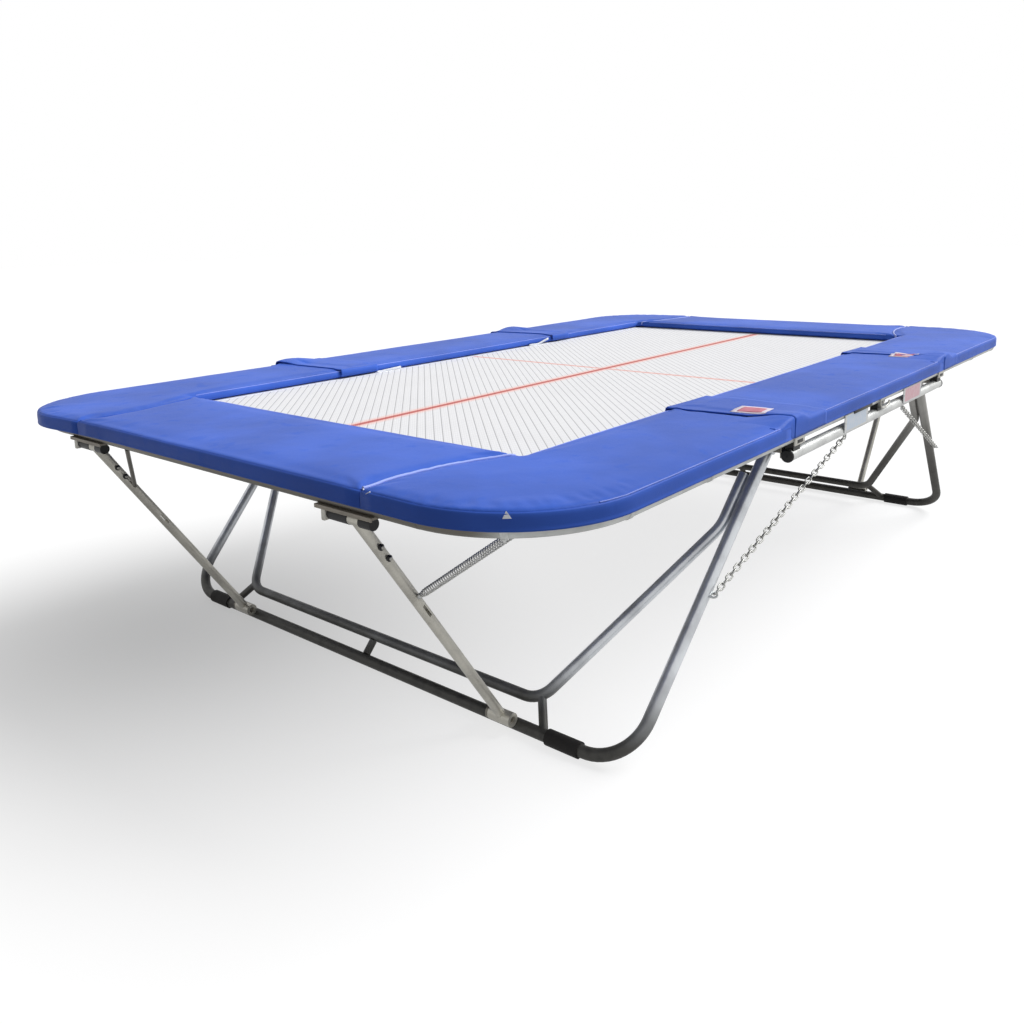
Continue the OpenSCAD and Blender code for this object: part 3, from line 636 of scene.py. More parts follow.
# Both legs are one steel: the near leg's near-white upper colour is painted light, the far leg's
# darker one painted shade, and both low colours painted shade.
NEAR_LEG = LegTube("left_leg_zinc", (84, 83, 79), (236, 240, 244), (0.06, 0.26))
FAR_LEG = LegTube("right_leg_zinc", (82, 80, 75), (176, 175, 170), (0.25, 0.85))
DARK_PLATE = ZincTube("dark_plate", (150, 143, 132), 0.5, 0.4)
LIGHT_PLATE = ZincTube("light_plate", (206, 204, 196), 0.4, 0.4)
STRUT_ZINC = ZincTube("strut_zinc", (208, 205, 194))
STEEL = ZincTube("dark_steel", (128, 124, 116), 0.42, 0.6)
CHAIN_ZINC = ZincTube("chain_zinc", (188, 188, 184), 0.34, 0.7)
STRUT_WIRE = ZincTube("strut_spring_wire", (210, 210, 206), 0.32, 0.6)
BLACK = Moulding("black_plastic", (22, 22, 24), 0.4, 500.0, 0.0001)
RUBBER = Moulding("black_rubber", (34, 32, 31), 0.72, 260.0, 0.0003)
PAD_BLUE = Vinyl("pad_vinyl", (61, 101, 204))
# The pale piping's colour is a painted highlight on the pads' top edges.
PAD_EDGE_HIGHLIGHT = Vinyl("pad_edging", (142, 162, 246), 0.36)
# The corner seams' pale colour is a painted highlight.
PAD_SEAM_HIGHLIGHT = Vinyl("pad_seam", (166, 182, 252), 0.34)
# Near white for painted glints on the pinched folds and the corner peak.
PAD_GLINT = Vinyl("pad_fold", (238, 242, 255), 0.3)
WHITE_WEB = WovenBed("bed_webbing")
HEM_WEB = PlainCloth("bed_hem", (240, 241, 244), 0.003)
TAPE = PlainCloth("tie_tape", (226, 230, 238))
PATCH = PlainCloth("sewn_patch", (196, 122, 138))
PATCH_EDGE = PlainCloth("patch_border", (222, 212, 224))
SIDE_SPRING = SpringWire("side_spring_wire", "Y")
END_SPRING = SpringWire("end_spring_wire", "X")
PLATE = PlainPlate("painted_plate")


# ---------------------------------------------------------------- mesh tools


def show(name: str, data: bpy.types.ID) -> Object:
    """Puts a new object in the scene, at the origin."""
    obj = bpy.data.objects.new(name, data)
    bpy.context.scene.collection.objects.link(obj)
    return obj


def wear(mesh: bpy.types.Mesh, finish: Finish) -> None:
    """Gives a mesh one finish in place of what it wore."""
    mesh.materials.clear()
    mesh.materials.append(material_of(finish))


def add_piece(name: str, bm: Mesh, finish: Finish, smooth: bool = True) -> Object:
    """Turns a bmesh into an object in the scene.

    Args:
        name: The piece's name.
        bm: Its mesh, which is freed.
        finish: The finish it wears.
        smooth: Whether its faces are shaded smooth.

    Returns:
        The new object, at the origin.
    """
    mesh = bpy.data.meshes.new(name)
    bm.to_mesh(mesh)
    bm.free()
    if smooth:
        mesh.shade_smooth()
    wear(mesh, finish)
    return show(name, mesh)


def carry(obj: Object, body: str) -> None:
    """Gives a piece the body that it rides on."""
    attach(obj, body)
    LOG.info("%s rides on %s", obj.name, body)


def bend_over(obj: Object, end: End, flank: Flank) -> None:
    """Bakes a blue piece's place into its mesh and logs the end frame and the middle frame beside
    the hinge line.
    """
    bodies = (end.frame, MIDDLE) if end is End.LEFT else (MIDDLE, end.frame)
    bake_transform(obj)
    LOG.info("%s bends from %s to %s", obj.name, *bodies)


def evaluated(obj: Object) -> bpy.types.Mesh:
    """A new mesh of what a piece's modifiers or curve make of it."""
    bpy.context.view_layer.update()
    graph = bpy.context.evaluated_depsgraph_get()
    return bpy.data.meshes.new_from_object(obj.evaluated_get(graph))


def settle(obj: Object, finish: Finish) -> None:
    """Replaces a piece's mesh by what its modifiers make of it, and drops them."""
    mesh = evaluated(obj)
    obj.modifiers.clear()
    obj.data = mesh
    wear(mesh, finish)
    mesh.shade_smooth()


def tube(
    name: str,
    points: Iterable[Point],
    radius: float,
    finish: Finish,
    sides: int,
    ring: bool = False,
) -> Object:
    """A round wire or cord of even thickness along a line of points.

    Args:
        name: The piece's name.
        points: Where its middle runs.
        radius: Its radius.
        finish: The finish it wears.
        sides: How many sides its section has.
        ring: Whether it closes on itself.

    Returns:
        The piece, as a closed mesh.
    """
    curve = bpy.data.curves.new(name, "CURVE")
    curve.dimensions = "3D"
    curve.bevel_depth = radius
    curve.bevel_resolution = max(0, sides // 2 - 2)
    curve.use_fill_caps = not ring
    line = [Vector(p) for p in points]
    spline = curve.splines.new("POLY")
    spline.points.add(len(line) - 1)
    for place, point in zip(spline.points, line):
        place.co = (*point, 1.0)
    spline.use_cyclic_u = ring
    drawn = show(name, curve)
    mesh = evaluated(drawn)
    bpy.data.objects.remove(drawn)
    mesh.name = name
    wear(mesh, finish)
    mesh.shade_smooth()
    return show(name, mesh)


def lathe(profile: Sequence[Pair], place: Matrix, steps: int) -> Mesh:
    """Turns a profile round its own Z axis.

    Args:
        profile: Pairs of radius and height, both ends on the axis.
        place: Where the turned solid goes.
        steps: How many sides it has.

    Returns:
        The turned solid.
    """
    bm = bmesh.new()
    chain = [bm.verts.new((r, 0, z)) for r, z in profile]
    edges = [bm.edges.new(pair) for pair in zip(chain, chain[1:])]
    whole = {"cent": (0, 0, 0), "axis": (0, 0, 1), "angle": 2 * math.pi, "use_merge": True}
    bmesh.ops.spin(bm, geom=chain + edges, steps=steps, **whole)
    bmesh.ops.remove_doubles(bm, verts=bm.verts, dist=1e-6)
    bmesh.ops.transform(bm, matrix=place, verts=bm.verts)
    bmesh.ops.recalc_face_normals(bm, faces=bm.faces)
    return bm


def pointing(start: Point, way: Point) -> Matrix:
    """A place at start whose Z looks the given way."""
    turn = Vector(way).to_track_quat("Z", "Y").to_matrix().to_4x4()
    return Matrix.Translation(Vector(start)) @ turn


def round_off(bm: Mesh, edges: Sequence, radius: float, segments: int) -> None:
    """Rounds edges of a mesh."""
    kind = {"affect": "EDGES", "profile": 0.5, "material": -1}
    bmesh.ops.bevel(bm, geom=edges, offset=radius, segments=segments, **kind)


def block(low: Point, high: Point, edge: float = 0.0008) -> Mesh:
    """A box between two corners with rounded edges."""
    bm = bmesh.new()
    bmesh.ops.create_cube(bm, size=1.0)
    bmesh.ops.scale(bm, vec=Vector(high) - Vector(low), verts=bm.verts)
    bmesh.ops.translate(bm, vec=(Vector(low) + Vector(high)) / 2, verts=bm.verts)
    round_off(bm, bm.edges[:], edge, 2)
    return bm


def mirror(bm: Mesh, ways: Point) -> Mesh:
    """Mirrors a mesh by the signs of X and Y, its faces kept outward."""
    bmesh.ops.scale(bm, vec=(ways[0], ways[1], 1), verts=bm.verts)
    if ways[0] * ways[1] < 0:
        bmesh.ops.reverse_faces(bm, faces=bm.faces)
    return bm


def copies(one: bpy.types.Mesh, places: Iterable[Matrix]) -> Mesh:
    """A mesh with a copy of another at every place."""
    bm = bmesh.new()
    for place in places:
        before = len(bm.verts)
        bm.from_mesh(one)
        bm.verts.ensure_lookup_table()
        bmesh.ops.transform(bm, matrix=place, verts=bm.verts[before:])
    return bm


def strip(bm: Mesh, upper: Sequence, lower: Sequence) -> None:
    """Makes the faces between two rows of vertices."""
    for k in range(len(upper) - 1):
        bm.faces.new((upper[k], upper[k + 1], lower[k + 1], lower[k]))


def skin(
    name: str, grid: Sequence[Sequence[Point]], thickness: float, finish: Finish, out: Vector | None
) -> Object:
    """A thin closed sheet through rows of points.

    Args:
        name: The piece's name.
        grid: Rows of points on its outer face.
        thickness: How thick it is, inward from there.
        finish: The finish it wears.
        out: The way that its outer face looks, where that has to be settled.

    Returns:
        The piece.
    """
    bm = bmesh.new()
    rows = [[bm.verts.new(point) for point in row] for row in grid]
    for upper, lower in zip(rows, rows[1:]):
        strip(bm, upper, lower)
    bmesh.ops.recalc_face_normals(bm, faces=bm.faces)
    if out is not None and sum(f.normal.dot(out) for f in bm.faces) < 0:
        bmesh.ops.reverse_faces(bm, faces=bm.faces)
    bmesh.ops.solidify(bm, geom=bm.faces, thickness=thickness)
    bmesh.ops.recalc_face_normals(bm, faces=bm.faces)
    return add_piece(name, bm, finish)


def arc(centre: Point, radius: float, start: float, end: float, steps: int) -> list[Pair]:
    """Points on an arc in plan, by angle in degrees."""
    turn = [math.radians(start + (end - start) * i / steps) for i in range(steps + 1)]
    return [(centre[0] + radius * math.cos(a), centre[1] + radius * math.sin(a)) for a in turn]


def reach(a: Point, b: Point, steps: int) -> list[Pair]:
    """Points on a straight line in plan, its last end left out."""
    way = (b[0] - a[0], b[1] - a[1])
    return [(a[0] + way[0] * i / steps, a[1] + way[1] * i / steps) for i in range(steps)]


def surface_of(objs: Iterable[Object]) -> BVHTree:
    """A search tree over the surfaces of several pieces."""
    points: list[Vector] = []
    faces: list[list[int]] = []
    for obj in objs:
        start = len(points)
        points += [v.co.copy() for v in obj.data.vertices]
        faces += [[start + i for i in p.vertices] for p in obj.data.polygons]
    return BVHTree.FromPolygons(points, faces)


def height_at(surface: BVHTree, x: float, y: float) -> float | None:
    """How high a surface stands at a place in plan, or None where there is none."""
    hit = surface.ray_cast(Vector((x, y, ABOVE)), DOWN)[0]
    return hit.z if hit else None


# ---------------------------------------------------------------- studio


@dataclass
class Studio:
    """Camera, lamp, world and floor."""

    eye: Triple = (-3.760, -2.505, 1.619)
    yaw: float = 0.710
    pitch: float = -0.189
    roll: float = -0.023
    lens: float = 31.81
    shift: Pair = (0.0165, -0.1036)
    lamp_way: Triple = (0.60, -0.38, 0.70)
    lamp_strength: float = 2.75
    lamp_angle: float = 40
    ambient: Pair = (0.18, 0.60)
    floor_half: float = 60
    floor_drop: float = 0.0005

    def build(self) -> None:
        """Builds the whole studio."""
        self.build_camera()
        self.build_lamp()
        self.build_world()
        self.build_floor()
        bpy.context.scene.view_settings.view_transform = "Standard"

    def build_camera(self) -> None:
        """Stands the camera at the working view."""
        level, east, north = math.cos(self.pitch), math.cos(self.yaw), math.sin(self.yaw)
        ahead = Vector((level * east, level * north, math.sin(self.pitch)))
        right = Vector((north, -east, 0))
        up = right.cross(ahead)
        cos, sin = math.cos(self.roll), math.sin(self.roll)
        right, up = cos * right + sin * up, cos * up - sin * right
        data = bpy.data.cameras.new("camera")
        data.sensor_width = 36
        data.lens = self.lens
        data.shift_x, data.shift_y = self.shift
        data.clip_end = 200
        camera = show("camera", data)
        turn = Matrix((right, up, -ahead)).transposed().to_4x4()
        camera.matrix_world = Matrix.Translation(Vector(self.eye)) @ turn
        bpy.context.scene.camera = camera

    def build_lamp(self) -> None:
        """One broad lamp from above the long side."""
        data = bpy.data.lights.new("broad_lamp", "SUN")
        data.energy = self.lamp_strength
        data.angle = math.radians(self.lamp_angle)
        lamp = show("broad_lamp", data)
        lamp.rotation_euler = Vector(self.lamp_way).to_track_quat("Z", "Y").to_euler()

    def build_world(self) -> None:
        """A white world that looks even, and lights softly and more from the right."""
        world = bpy.data.worlds.new("world")
        bpy.context.scene.world = world
        n = Nodes(world)
        place = n.add("ShaderNodeTexCoord").outputs["Generated"]
        way = n.add("ShaderNodeSeparateXYZ", {"Vector": place}).outputs["X"]
        light = n.ramp(way, (-1, 1), self.ambient)
        strength = n.ramp(n.seen_directly(), (0, 1), (light, 1))
        even = n.add("ShaderNodeBackground", {"Color": (1, 1, 1, 1), "Strength": strength})
        n.add("ShaderNodeOutputWorld", {"Surface": even.outputs[0]})

    def build_floor(self) -> None:
        """A white floor that keeps the trampoline's shadow."""
        bm = bmesh.new()
        bmesh.ops.create_grid(bm, x_segments=1, y_segments=1, size=self.floor_half)
        bmesh.ops.translate(bm, vec=(0, 0, -self.floor_drop), verts=bm.verts)
        add_piece("floor", bm, FloorWhite("floor_white"), smooth=False)


# ---------------------------------------------------------------- frame


@dataclass
class TubeFrame:
    """The CAD nodes, and the finish of each by the first of these words in its name."""

    finishes: dict[str, Finish] = field(
        default_factory=lambda: {
            "end_rail": END_RAIL,
            "middle_rail": ZINC,
            "side_tube_caps": BLACK,
            "side_tube": ZINC,
            "side_blocks": BLACK,
            "web_plates": PLATE,
            "leg_hinge": STEEL,
            "fold_hinge_pins": STEEL,
            "chain_anchors": ZINC,
            "chain_eyes": ZINC,
            "_chain": CHAIN_ZINC,
            "saddles": DARK_PLATE,
            "spring_eyes": STEEL,
            "left_leg": NEAR_LEG,
            "right_leg": FAR_LEG,
            "foot_sleeves": RUBBER,
            "spindles": STEEL,
            "strut_grips": BLACK,
            "_strut": STRUT_ZINC,
        }
    )

    def dress(self, nodes: dict[str, Object]) -> None:
        """Gives every CAD node its finish."""
        for name, node in nodes.items():
            finish = next((f for part, f in self.finishes.items() if part in name), ZINC)
            wear(node.data, finish)
            LOG.info("%s wears %s", name, finish.name)


# ---------------------------------------------------------------- pads


class PadShape(NamedTuple):
    """One kind of pad in plan, its whole outline and the part of it on the outside."""

    outline: list[Pair]
    outer: list[Pair]

    def turned(self, ways: Point) -> "PadShape":
        """The shape mirrored by the signs of X and Y."""
        return PadShape(*([(x * ways[0], y * ways[1]) for x, y in line] for line in self))


@dataclass
class PadSet:
    """The eight pads round the opening, each a filled cover over foam."""

    gap: float = 0.001
    corner_r: float = 0.396
    end_y: float = 0.771
    seam_y: float = 0.858
    seam_bow: float = 0.040
    notch_x: float = 0.030
    notch_y: float = 1.3063
    start_top: float = 0.9812
    rounding: float = 0.011
    voxel: float = 0.008
    quick_voxel: float = 0.016
    frames: int = 20
    cap: float = 0.0045
    sideways: float = 0.35
    bulge_middle: Pair = (-2.24, 1.16)
    bulge_way: Pair = (-0.036, 0.014)
    bulge_spread: float = 0.105
    valance_rows: tuple[Pair, ...] = (
        (0.9745, -0.0026),
        (0.9705, -0.0004),
        (0.9665, 0.0011),
        (0.9610, 0.0017),
        (0.9540, 0.0018),
        (0.9460, 0.0017),
        (0.9400, 0.0015),
        (0.9330, 0.0014),
        (0.9316, 0.0021),
        (0.9274, 0.0021),
        (0.9262, 0.0012),
    )
    valance_thick: float = 0.0018
    valance_cut: float = 0.0500
    edging_r: float = 0.0017
    cloth: dict[str, object] = field(
        default_factory=lambda: {
            "quality": 4,
            "mass": 0.3,
            "tension_stiffness": 12,
            "compression_stiffness": 12,
            "bending_stiffness": 2.5,
            "use_pressure": True,
            "uniform_pressure_force": 4,
            "vertex_group_mass": "held",
        }
    )
    pads: dict[str, Object] = field(default_factory=dict)

    def seam(self, shift: float, steps: int = 12) -> list[Pair]:
        """The bowed line between the end pad and the front left pad, from the opening outward.

        Args:
            shift: How far the line is moved toward the front.
            steps: How many parts it has.

        Returns:
            Its plan points.
        """
        points = []
        for i in range(steps + 1):
            t = i / steps
            y = -self.seam_y + (self.seam_y - self.end_y) * t + 4 * self.seam_bow * t * (1 - t)
            points.append((-OPEN_X - (HALF_L - OPEN_X) * t, y - shift))
        return points

    def middle(self) -> PadShape:
        """The long pad between the folds."""
        x, end = FOLD_X - self.gap, FOLD_X - self.notch_x
        outer = [*reach((-end, -HALF_W), (end, -HALF_W), 28), (end, -HALF_W)]
        left = [(-x, -OPEN_Y), (-x, -self.notch_y), (-end, -self.notch_y)]
        right = [(end, -self.notch_y), (x, -self.notch_y), (x, -OPEN_Y)]
        return PadShape([*left, *outer, *right], outer)

    def corner(self) -> PadShape:
        """The pad from a fold round the corner to the end pad."""
        x, end = FOLD_X + self.gap, FOLD_X + self.notch_x
        cx, cy = HALF_L - self.corner_r, HALF_W - self.corner_r
        outer = [
            *reach((-HALF_L, -self.end_y - self.gap), (-HALF_L, -cy), 4),
            *arc((-cx, -cy), self.corner_r, 180, 270, 20)[:-1],
            *reach((-cx, -HALF_W), (-end, -HALF_W), 18),
            (-end, -HALF_W),
        ]
        inner = [(-x, -OPEN_Y), (-OPEN_X, -OPEN_Y), *self.seam(self.gap)[:-1]]
        notch = [(-end, -self.notch_y), (-x, -self.notch_y)]
        return PadShape([*inner, *outer, *notch], outer)

    def end(self) -> PadShape:
        """The pad across an end."""
        y = self.end_y - self.gap
        outer = [*reach((-HALF_L, y), (-HALF_L, -y), 24), (-HALF_L, -y)]
        front = self.seam(-self.gap)[:-1]
        back = [(x, -y) for x, y in front]
        return PadShape([*back, *outer, *reversed(front)], outer)

    def slab(self, shape: PadShape) -> Mesh:
        """A pad's plain foam with rounded upper edges."""
        bm = bmesh.new()
        base = bm.faces.new([bm.verts.new((x, y, PAD_BASE)) for x, y in shape.outline])
        raised = bmesh.ops.extrude_face_region(bm, geom=[base])["geom"]
        top = [v for v in raised if isinstance(v, bmesh.types.BMVert)]
        bmesh.ops.translate(bm, vec=(0, 0, self.start_top - PAD_BASE), verts=top)
        bmesh.ops.recalc_face_normals(bm, faces=bm.faces)
        rim = [e for e in bm.edges if e.verts[0] in top and e.verts[1] in top]
        round_off(bm, rim, self.rounding, 4)
        return bm

    def inflate(self, obj: Object) -> None:
        """Fills a pad's cover with a cloth simulation, its underside held."""
        start = np.empty(len(obj.data.vertices) * 3)
        obj.data.vertices.foreach_get("co", start)
        moved = np.empty_like(start)
        start = start.reshape(-1, 3)
        held = obj.vertex_groups.new(name="held")
        held.add([int(i) for i in np.nonzero(start[:, 2] < PAD_SOFT)[0]], 1.0, "REPLACE")
        cover = obj.modifiers.new("cover", "CLOTH")
        for key, value in self.cloth.items():
            setattr(cover.settings, key, value)
        cover.settings.effector_weights.gravity = 0
        cover.collision_settings.use_collision = False
        cover.point_cache.frame_start = 1
        cover.point_cache.frame_end = self.frames
        for frame in range(1, self.frames + 1):
            bpy.context.scene.frame_set(frame)
        settle(obj, PAD_BLUE)
        obj.data.vertices.foreach_get("co", moved)
        shift = moved.reshape(-1, 3) - start
        far = np.linalg.norm(shift, axis=1, keepdims=True)
        shift *= self.cap * np.tanh(far / self.cap) / np.maximum(far, 1e-9)
        shift[:, :2] *= self.sideways
        obj.data.vertices.foreach_set("co", (start + shift).ravel())
        bpy.context.scene.frame_set(1)
        obj.vertex_groups.clear()

    def form(self, kind: str, shape: PadShape) -> Object:
        """One pad at the front left, remeshed and filled."""
        obj = add_piece(f"{kind}_form", self.slab(shape), PAD_BLUE)
        remesh = obj.modifiers.new("voxels", "REMESH")
        remesh.mode = "VOXEL"
        remesh.voxel_size = self.voxel
        remesh.use_smooth_shade = True
        settle(obj, PAD_BLUE)
        self.inflate(obj)
        return obj

    @staticmethod
    def ripple(at: Vector, seed: int) -> float:
        """How far a pad's loose cover rises or sinks at a place, most at the round corners."""
        rise = clamp((at.z - PAD_SOFT) / 0.02)
        corner = clamp((abs(at.x) + abs(at.y) - 2.75) / 0.5)
        broad = noise.noise(Vector((at.x * 2.4, at.y * 2.4, seed)))
        crease = noise.noise(Vector((at.x * 9, at.y * 9, seed + 7)))
        fold = noise.noise(Vector(((at.x + at.y) * 7, (at.x - at.y) * 1.6, seed + 3)))
        return rise * (0.0014 * broad + 0.0007 * crease + 0.0035 * corner * max(0.0, fold - 0.1))

    def bulge(self, x: float, y: float) -> Pair:
        """Where a point of the loose cover at the back left corner comes to lie."""
        far = (x - self.bulge_middle[0]) ** 2 + (y - self.bulge_middle[1]) ** 2
        share = math.exp(-far / self.bulge_spread)
        return (x + self.bulge_way[0] * share, y + self.bulge_way[1] * share)

    def resting(self, surface: BVHTree, at: Point, lift: float) -> Vector:
        """The place on the pads nearest to a point, and this far out of them."""
        place, way = surface.find_nearest(Vector((*self.bulge(at[0], at[1]), at[2])))[:2]
        return place + way * lift

    def build(self) -> None:
        """Builds all eight pads from three forms."""
        shapes = {"middle": self.middle(), "corner": self.corner(), "end": self.end()}
        kinds = {kind: (self.form(kind, shape), shape) for kind, shape in shapes.items()}
        seed = 1
        for flank in Flank:
            self.put(f"{flank.word}_middle_pad", *kinds["middle"], (1, -flank.value), MIDDLE, seed)
            for end in End:
                seed += 3
                quarter = Quarter(end, flank)
                self.put(f"{quarter.word}_pad", *kinds["corner"], quarter.ways, end.frame, seed)
        for end in End:
            seed += 3
            self.put(f"{end.word}_end_pad", *kinds["end"], (-end.value, 1), end.frame, seed)
        for form, _ in kinds.values():
            bpy.data.objects.remove(form)

    def put(
        self, name: str, form: Object, shape: PadShape, ways: Point, body: str, seed: int
    ) -> None:
        """Sets a copy of a pad form in its place, with its valance and edging.

        Args:
            name: The CAD node that it stands for.
            form: The filled form.
            shape: The form's shape in plan.
            ways: The signs that mirror it into place.
            body: The body that it rides on.
            seed: What makes its ripples its own.
        """
        bm = bmesh.new()
        bm.from_mesh(form.data)
        mirror(bm, ways)
        for v in bm.verts:
            v.co.z += self.ripple(v.co, seed)
            v.co.x, v.co.y = self.bulge(v.co.x, v.co.y)
        pad = add_piece(f"{name}_cover", bm, PAD_BLUE)
        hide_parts(name)
        carry(pad, body)
        self.pads[name] = pad
        turned = shape.turned(ways)
        self.valance(name, turned.outer, body, seed)
        self.edging(name, turned, body)

    def valance(self, name: str, outer: Sequence[Pair], body: str, seed: int) -> None:
        """The cover's hanging strip below a pad's outer edge, with a hem."""
        line = [Vector((*self.bulge(x, y), 0)) for x, y in outer]
        ways = []
        for at, before, after in zip(line, [line[0], *line], [*line[1:], line[-1]]):
            across = (after - before).cross(UP).normalized()
            ways.append(across if across.dot(at) > 0 else -across)
        grid = []
        for height, out in self.valance_rows:
            fall = clamp((0.9500 - height) / 0.02)
            row = []
            for at, way in zip(line, ways):
                far = out + noise.noise(Vector((at.x * 5, at.y * 5, seed))) * 0.0009 * fall
                row.append((at.x + way.x * far, at.y + way.y * far, height))
            grid.append(row)
        obj = skin(f"{name}_valance", grid, self.valance_thick, PAD_BLUE, ways[len(line) // 2])
        carry(obj, body)

    def edging(self, name: str, shape: PadShape, body: str) -> None:
        """A thin piping along a pad's inner top edge, and along a long side's outer one, its pale
        colour a painted highlight.
        """
        if "end_pad" in name:
            inner = [p for p in shape.outline if abs(abs(p[0]) - OPEN_X) < 0.002]
            outer = []
        else:
            inside = [p for p in shape.outline if abs(p[0]) < OPEN_X + 0.001]
            inner = [p for p in inside if abs(abs(p[1]) - OPEN_Y) < 0.002]
            outer = [p for p in shape.outer if abs(abs(p[1]) - HALF_W) < 0.05 and abs(p[0]) < 2.06]
        inner.sort()
        lines = {"inner": [*reach(inner[0], inner[-1], 30), inner[-1]], "outer": outer}
        surface = surface_of([self.pads[name]])
        for key, line in lines.items():
            if line:
                points = [self.resting(surface, (x, y, TOP), 0.0002) for x, y in line]
                obj = tube(f"{name}_{key}_edging", points[1:-1], self.edging_r, PAD_EDGE_HIGHLIGHT, 6)
                carry(obj, body)


class Cover(NamedTuple):
    """A flap over a fold, by the X of its leading edge, inside and outside, and of its far edge."""

    end: End
    flank: Flank
    inner_x: float
    outer_x: float
    far_x: float

    def leading(self, y: float) -> float:
        """The X of its leading edge at a distance from the middle line."""
        share = clamp((abs(y) - OPEN_Y) / (HALF_W - OPEN_Y))
        return self.inner_x + (self.outer_x - self.inner_x) * share


@dataclass
class SeamCovers:
    """The flaps where one pad's cover laps over its neighbour, and guards over the hinges.

    A section's row is its distance from the middle line, its height, and how far out and up the
    cover thickens there.
    """

    pads: PadSet
    covers: tuple[Cover, ...] = (
        Cover(End.LEFT, Flank.FRONT, -0.924, -0.898, -0.621),
        Cover(End.RIGHT, Flank.FRONT, 0.824, 0.874, 1.099),
        Cover(End.LEFT, Flank.BACK, -0.956, -0.995, -0.722),
        Cover(End.RIGHT, Flank.BACK, 0.742, 0.696, 0.914),
    )
    inner_rows: tuple[tuple[float, ...], ...] = (
        (0.8800, 0.9500, -1.0, 0.0),
        (0.8795, 0.9700, -1.0, 0.1),
        (0.8815, 0.9785, -0.7, 0.7),
        (0.8860, 0.9832, -0.3, 0.95),
    )
    top_rows: tuple[float, float, int] = (0.893, 1.3385, 44)
    hanging_rows: tuple[float, ...] = (0.9620, 0.9540, 0.9460, 0.9360, 0.9268)
    lip: float = 0.0052
    thin: float = 0.0008
    hanging: float = 0.0024
    ripple: float = 0.0006
    hinge_top: float = 1.0008
    spread: float = 0.125
    guard_thick: float = 0.0009
    guard_sunk: float = 0.0012
    guard_proud: float = 0.0004
    made: list[Object] = field(default_factory=list)

    def profile(self, x: float, flank: Flank, surface: BVHTree) -> list[tuple[Vector, Vector]]:
        """Points over the pads from the bed's side to the outside, with the way out of the cover.

        Args:
            x: Where the section is taken.
            flank: The long side.
            surface: The pads' surfaces.

        Returns:
            Pairs of a point and the direction that the cover thickens in.
        """
        s = flank.value
        rows = list(self.inner_rows)
        beside = clamp((abs(abs(x) - FOLD_X) - 0.014) / self.spread)
        for y in np.linspace(*self.top_rows):
            z = (height_at(surface, x, s * y) or TOP - 0.004) + 0.0004
            past = clamp((abs(y - RAIL_Y) - 0.019) / self.spread)
            rise = (1 - ease(beside)) * (1 - ease(past))
            rows.append((y, max(z, TOP - 0.003, z + (self.hinge_top - z) * rise), 0.0, 1.0))
        high = rows[-1][1]
        rows += [(1.3460, high - 0.0030, 0.45, 0.9), (1.3502, high - 0.0095, 0.9, 0.45)]
        rows += [(1.3512, 0.9700, 1.0, 0.1), *((1.3514, z, 1.0, 0.0) for z in self.hanging_rows)]
        return [
            (Vector((x, s * y, z)), Vector((0, s * out, up)).normalized()) for y, z, out, up in rows
        ]

    def one(self, cover: Cover, surface: BVHTree) -> None:
        """Builds one cover as a closed shell, thick at its leading edge."""
        shares = [0, 0.002, 0.005, 0.009, 0.015, 0.024, 0.036, 0.05, 0.07, 0.1]
        shares += [0.1 + 0.9 * i / 22 for i in range(1, 23)]
        bm = bmesh.new()
        under, over = [], []
        for share in shares:
            cut = cover.inner_x + (cover.far_x - cover.inner_x) * share
            section = self.profile(cut, cover.flank, surface)
            swell = 0.25 + 0.75 * math.sqrt(min(1.0, share / 0.012))
            thick = (self.thin + (self.lip - self.thin) * (1 - share) ** 2) * swell
            low, high = [], []
            for k, (point, way) in enumerate(section):
                lead = cover.leading(point.y)
                x = lead + (cover.far_x - lead) * share
                point.x = x
                hangs = k < 2 or k > len(section) - 7
                depth = min(thick, self.hanging) if hangs else thick
                if share <= 0.98:
                    ripple = noise.noise(Vector((x * 14, point.y * 11, cover.far_x * 9)))
                    depth += max(0.0, self.ripple * ripple)
                low.append(bm.verts.new(point))
                high.append(bm.verts.new(point + way * depth))
            under.append(low)
            over.append(high)
        for side in (under, over):
            for a, b in zip(side, side[1:]):
                strip(bm, a, b)
        for k in (0, -1):
            strip(bm, under[k], over[k])
            strip(bm, [row[k] for row in under], [row[k] for row in over])
        bmesh.ops.recalc_face_normals(bm, faces=bm.faces)
        obj = add_piece(f"{cover.flank.word}_{cover.end.word}_seam_cover", bm, PAD_BLUE)
        bend_over(obj, cover.end, cover.flank)
        self.made.append(obj)

    def guard(self, quarter: Quarter, surface: BVHTree) -> None:
        """A thin flap over a fold hinge, under the cover, its edges sunk in the pads."""
        out = quarter.flank.value
        middle = quarter.end.value * FOLD_X
        wide = self.spread + 0.016
        grid = []
        for x in np.linspace(middle - wide, middle + wide, 41):
            section = self.profile(float(x), quarter.flank, surface)
            rows = [row for row in section if abs(row[0].y) > RAIL_Y - wide - 0.006]
            inside = min(1.0, (wide - abs(x - middle)) / 0.04)
            lift = -self.guard_sunk + (self.guard_sunk + self.guard_proud) * inside
            lowest = 0.9268 if abs(x - middle) < 0.036 else 0.9700
            for i, (point, way) in enumerate(rows):
                past = min(1.0, i / 2)
                point += way * (lift * past - self.guard_sunk * (1 - past))
                if abs(point.y) > 1.341:
                    point.y -= out * 0.006 * (1 - inside)
                if point.z < lowest:
                    point.z = lowest + (point.z - lowest) * 0.02
            grid.append([point for point, _ in rows])
        obj = skin(f"{quarter.word}_hinge_guard", grid, self.guard_thick, PAD_BLUE, UP)
        bend_over(obj, *quarter)

    def build(self) -> None:
        """Builds the four covers and the guards over the hinges."""
        surface = surface_of(self.pads.pads.values())
        for cover in self.covers:
            self.one(cover, surface)
        for quarter in QUARTERS:
            self.guard(quarter, surface)


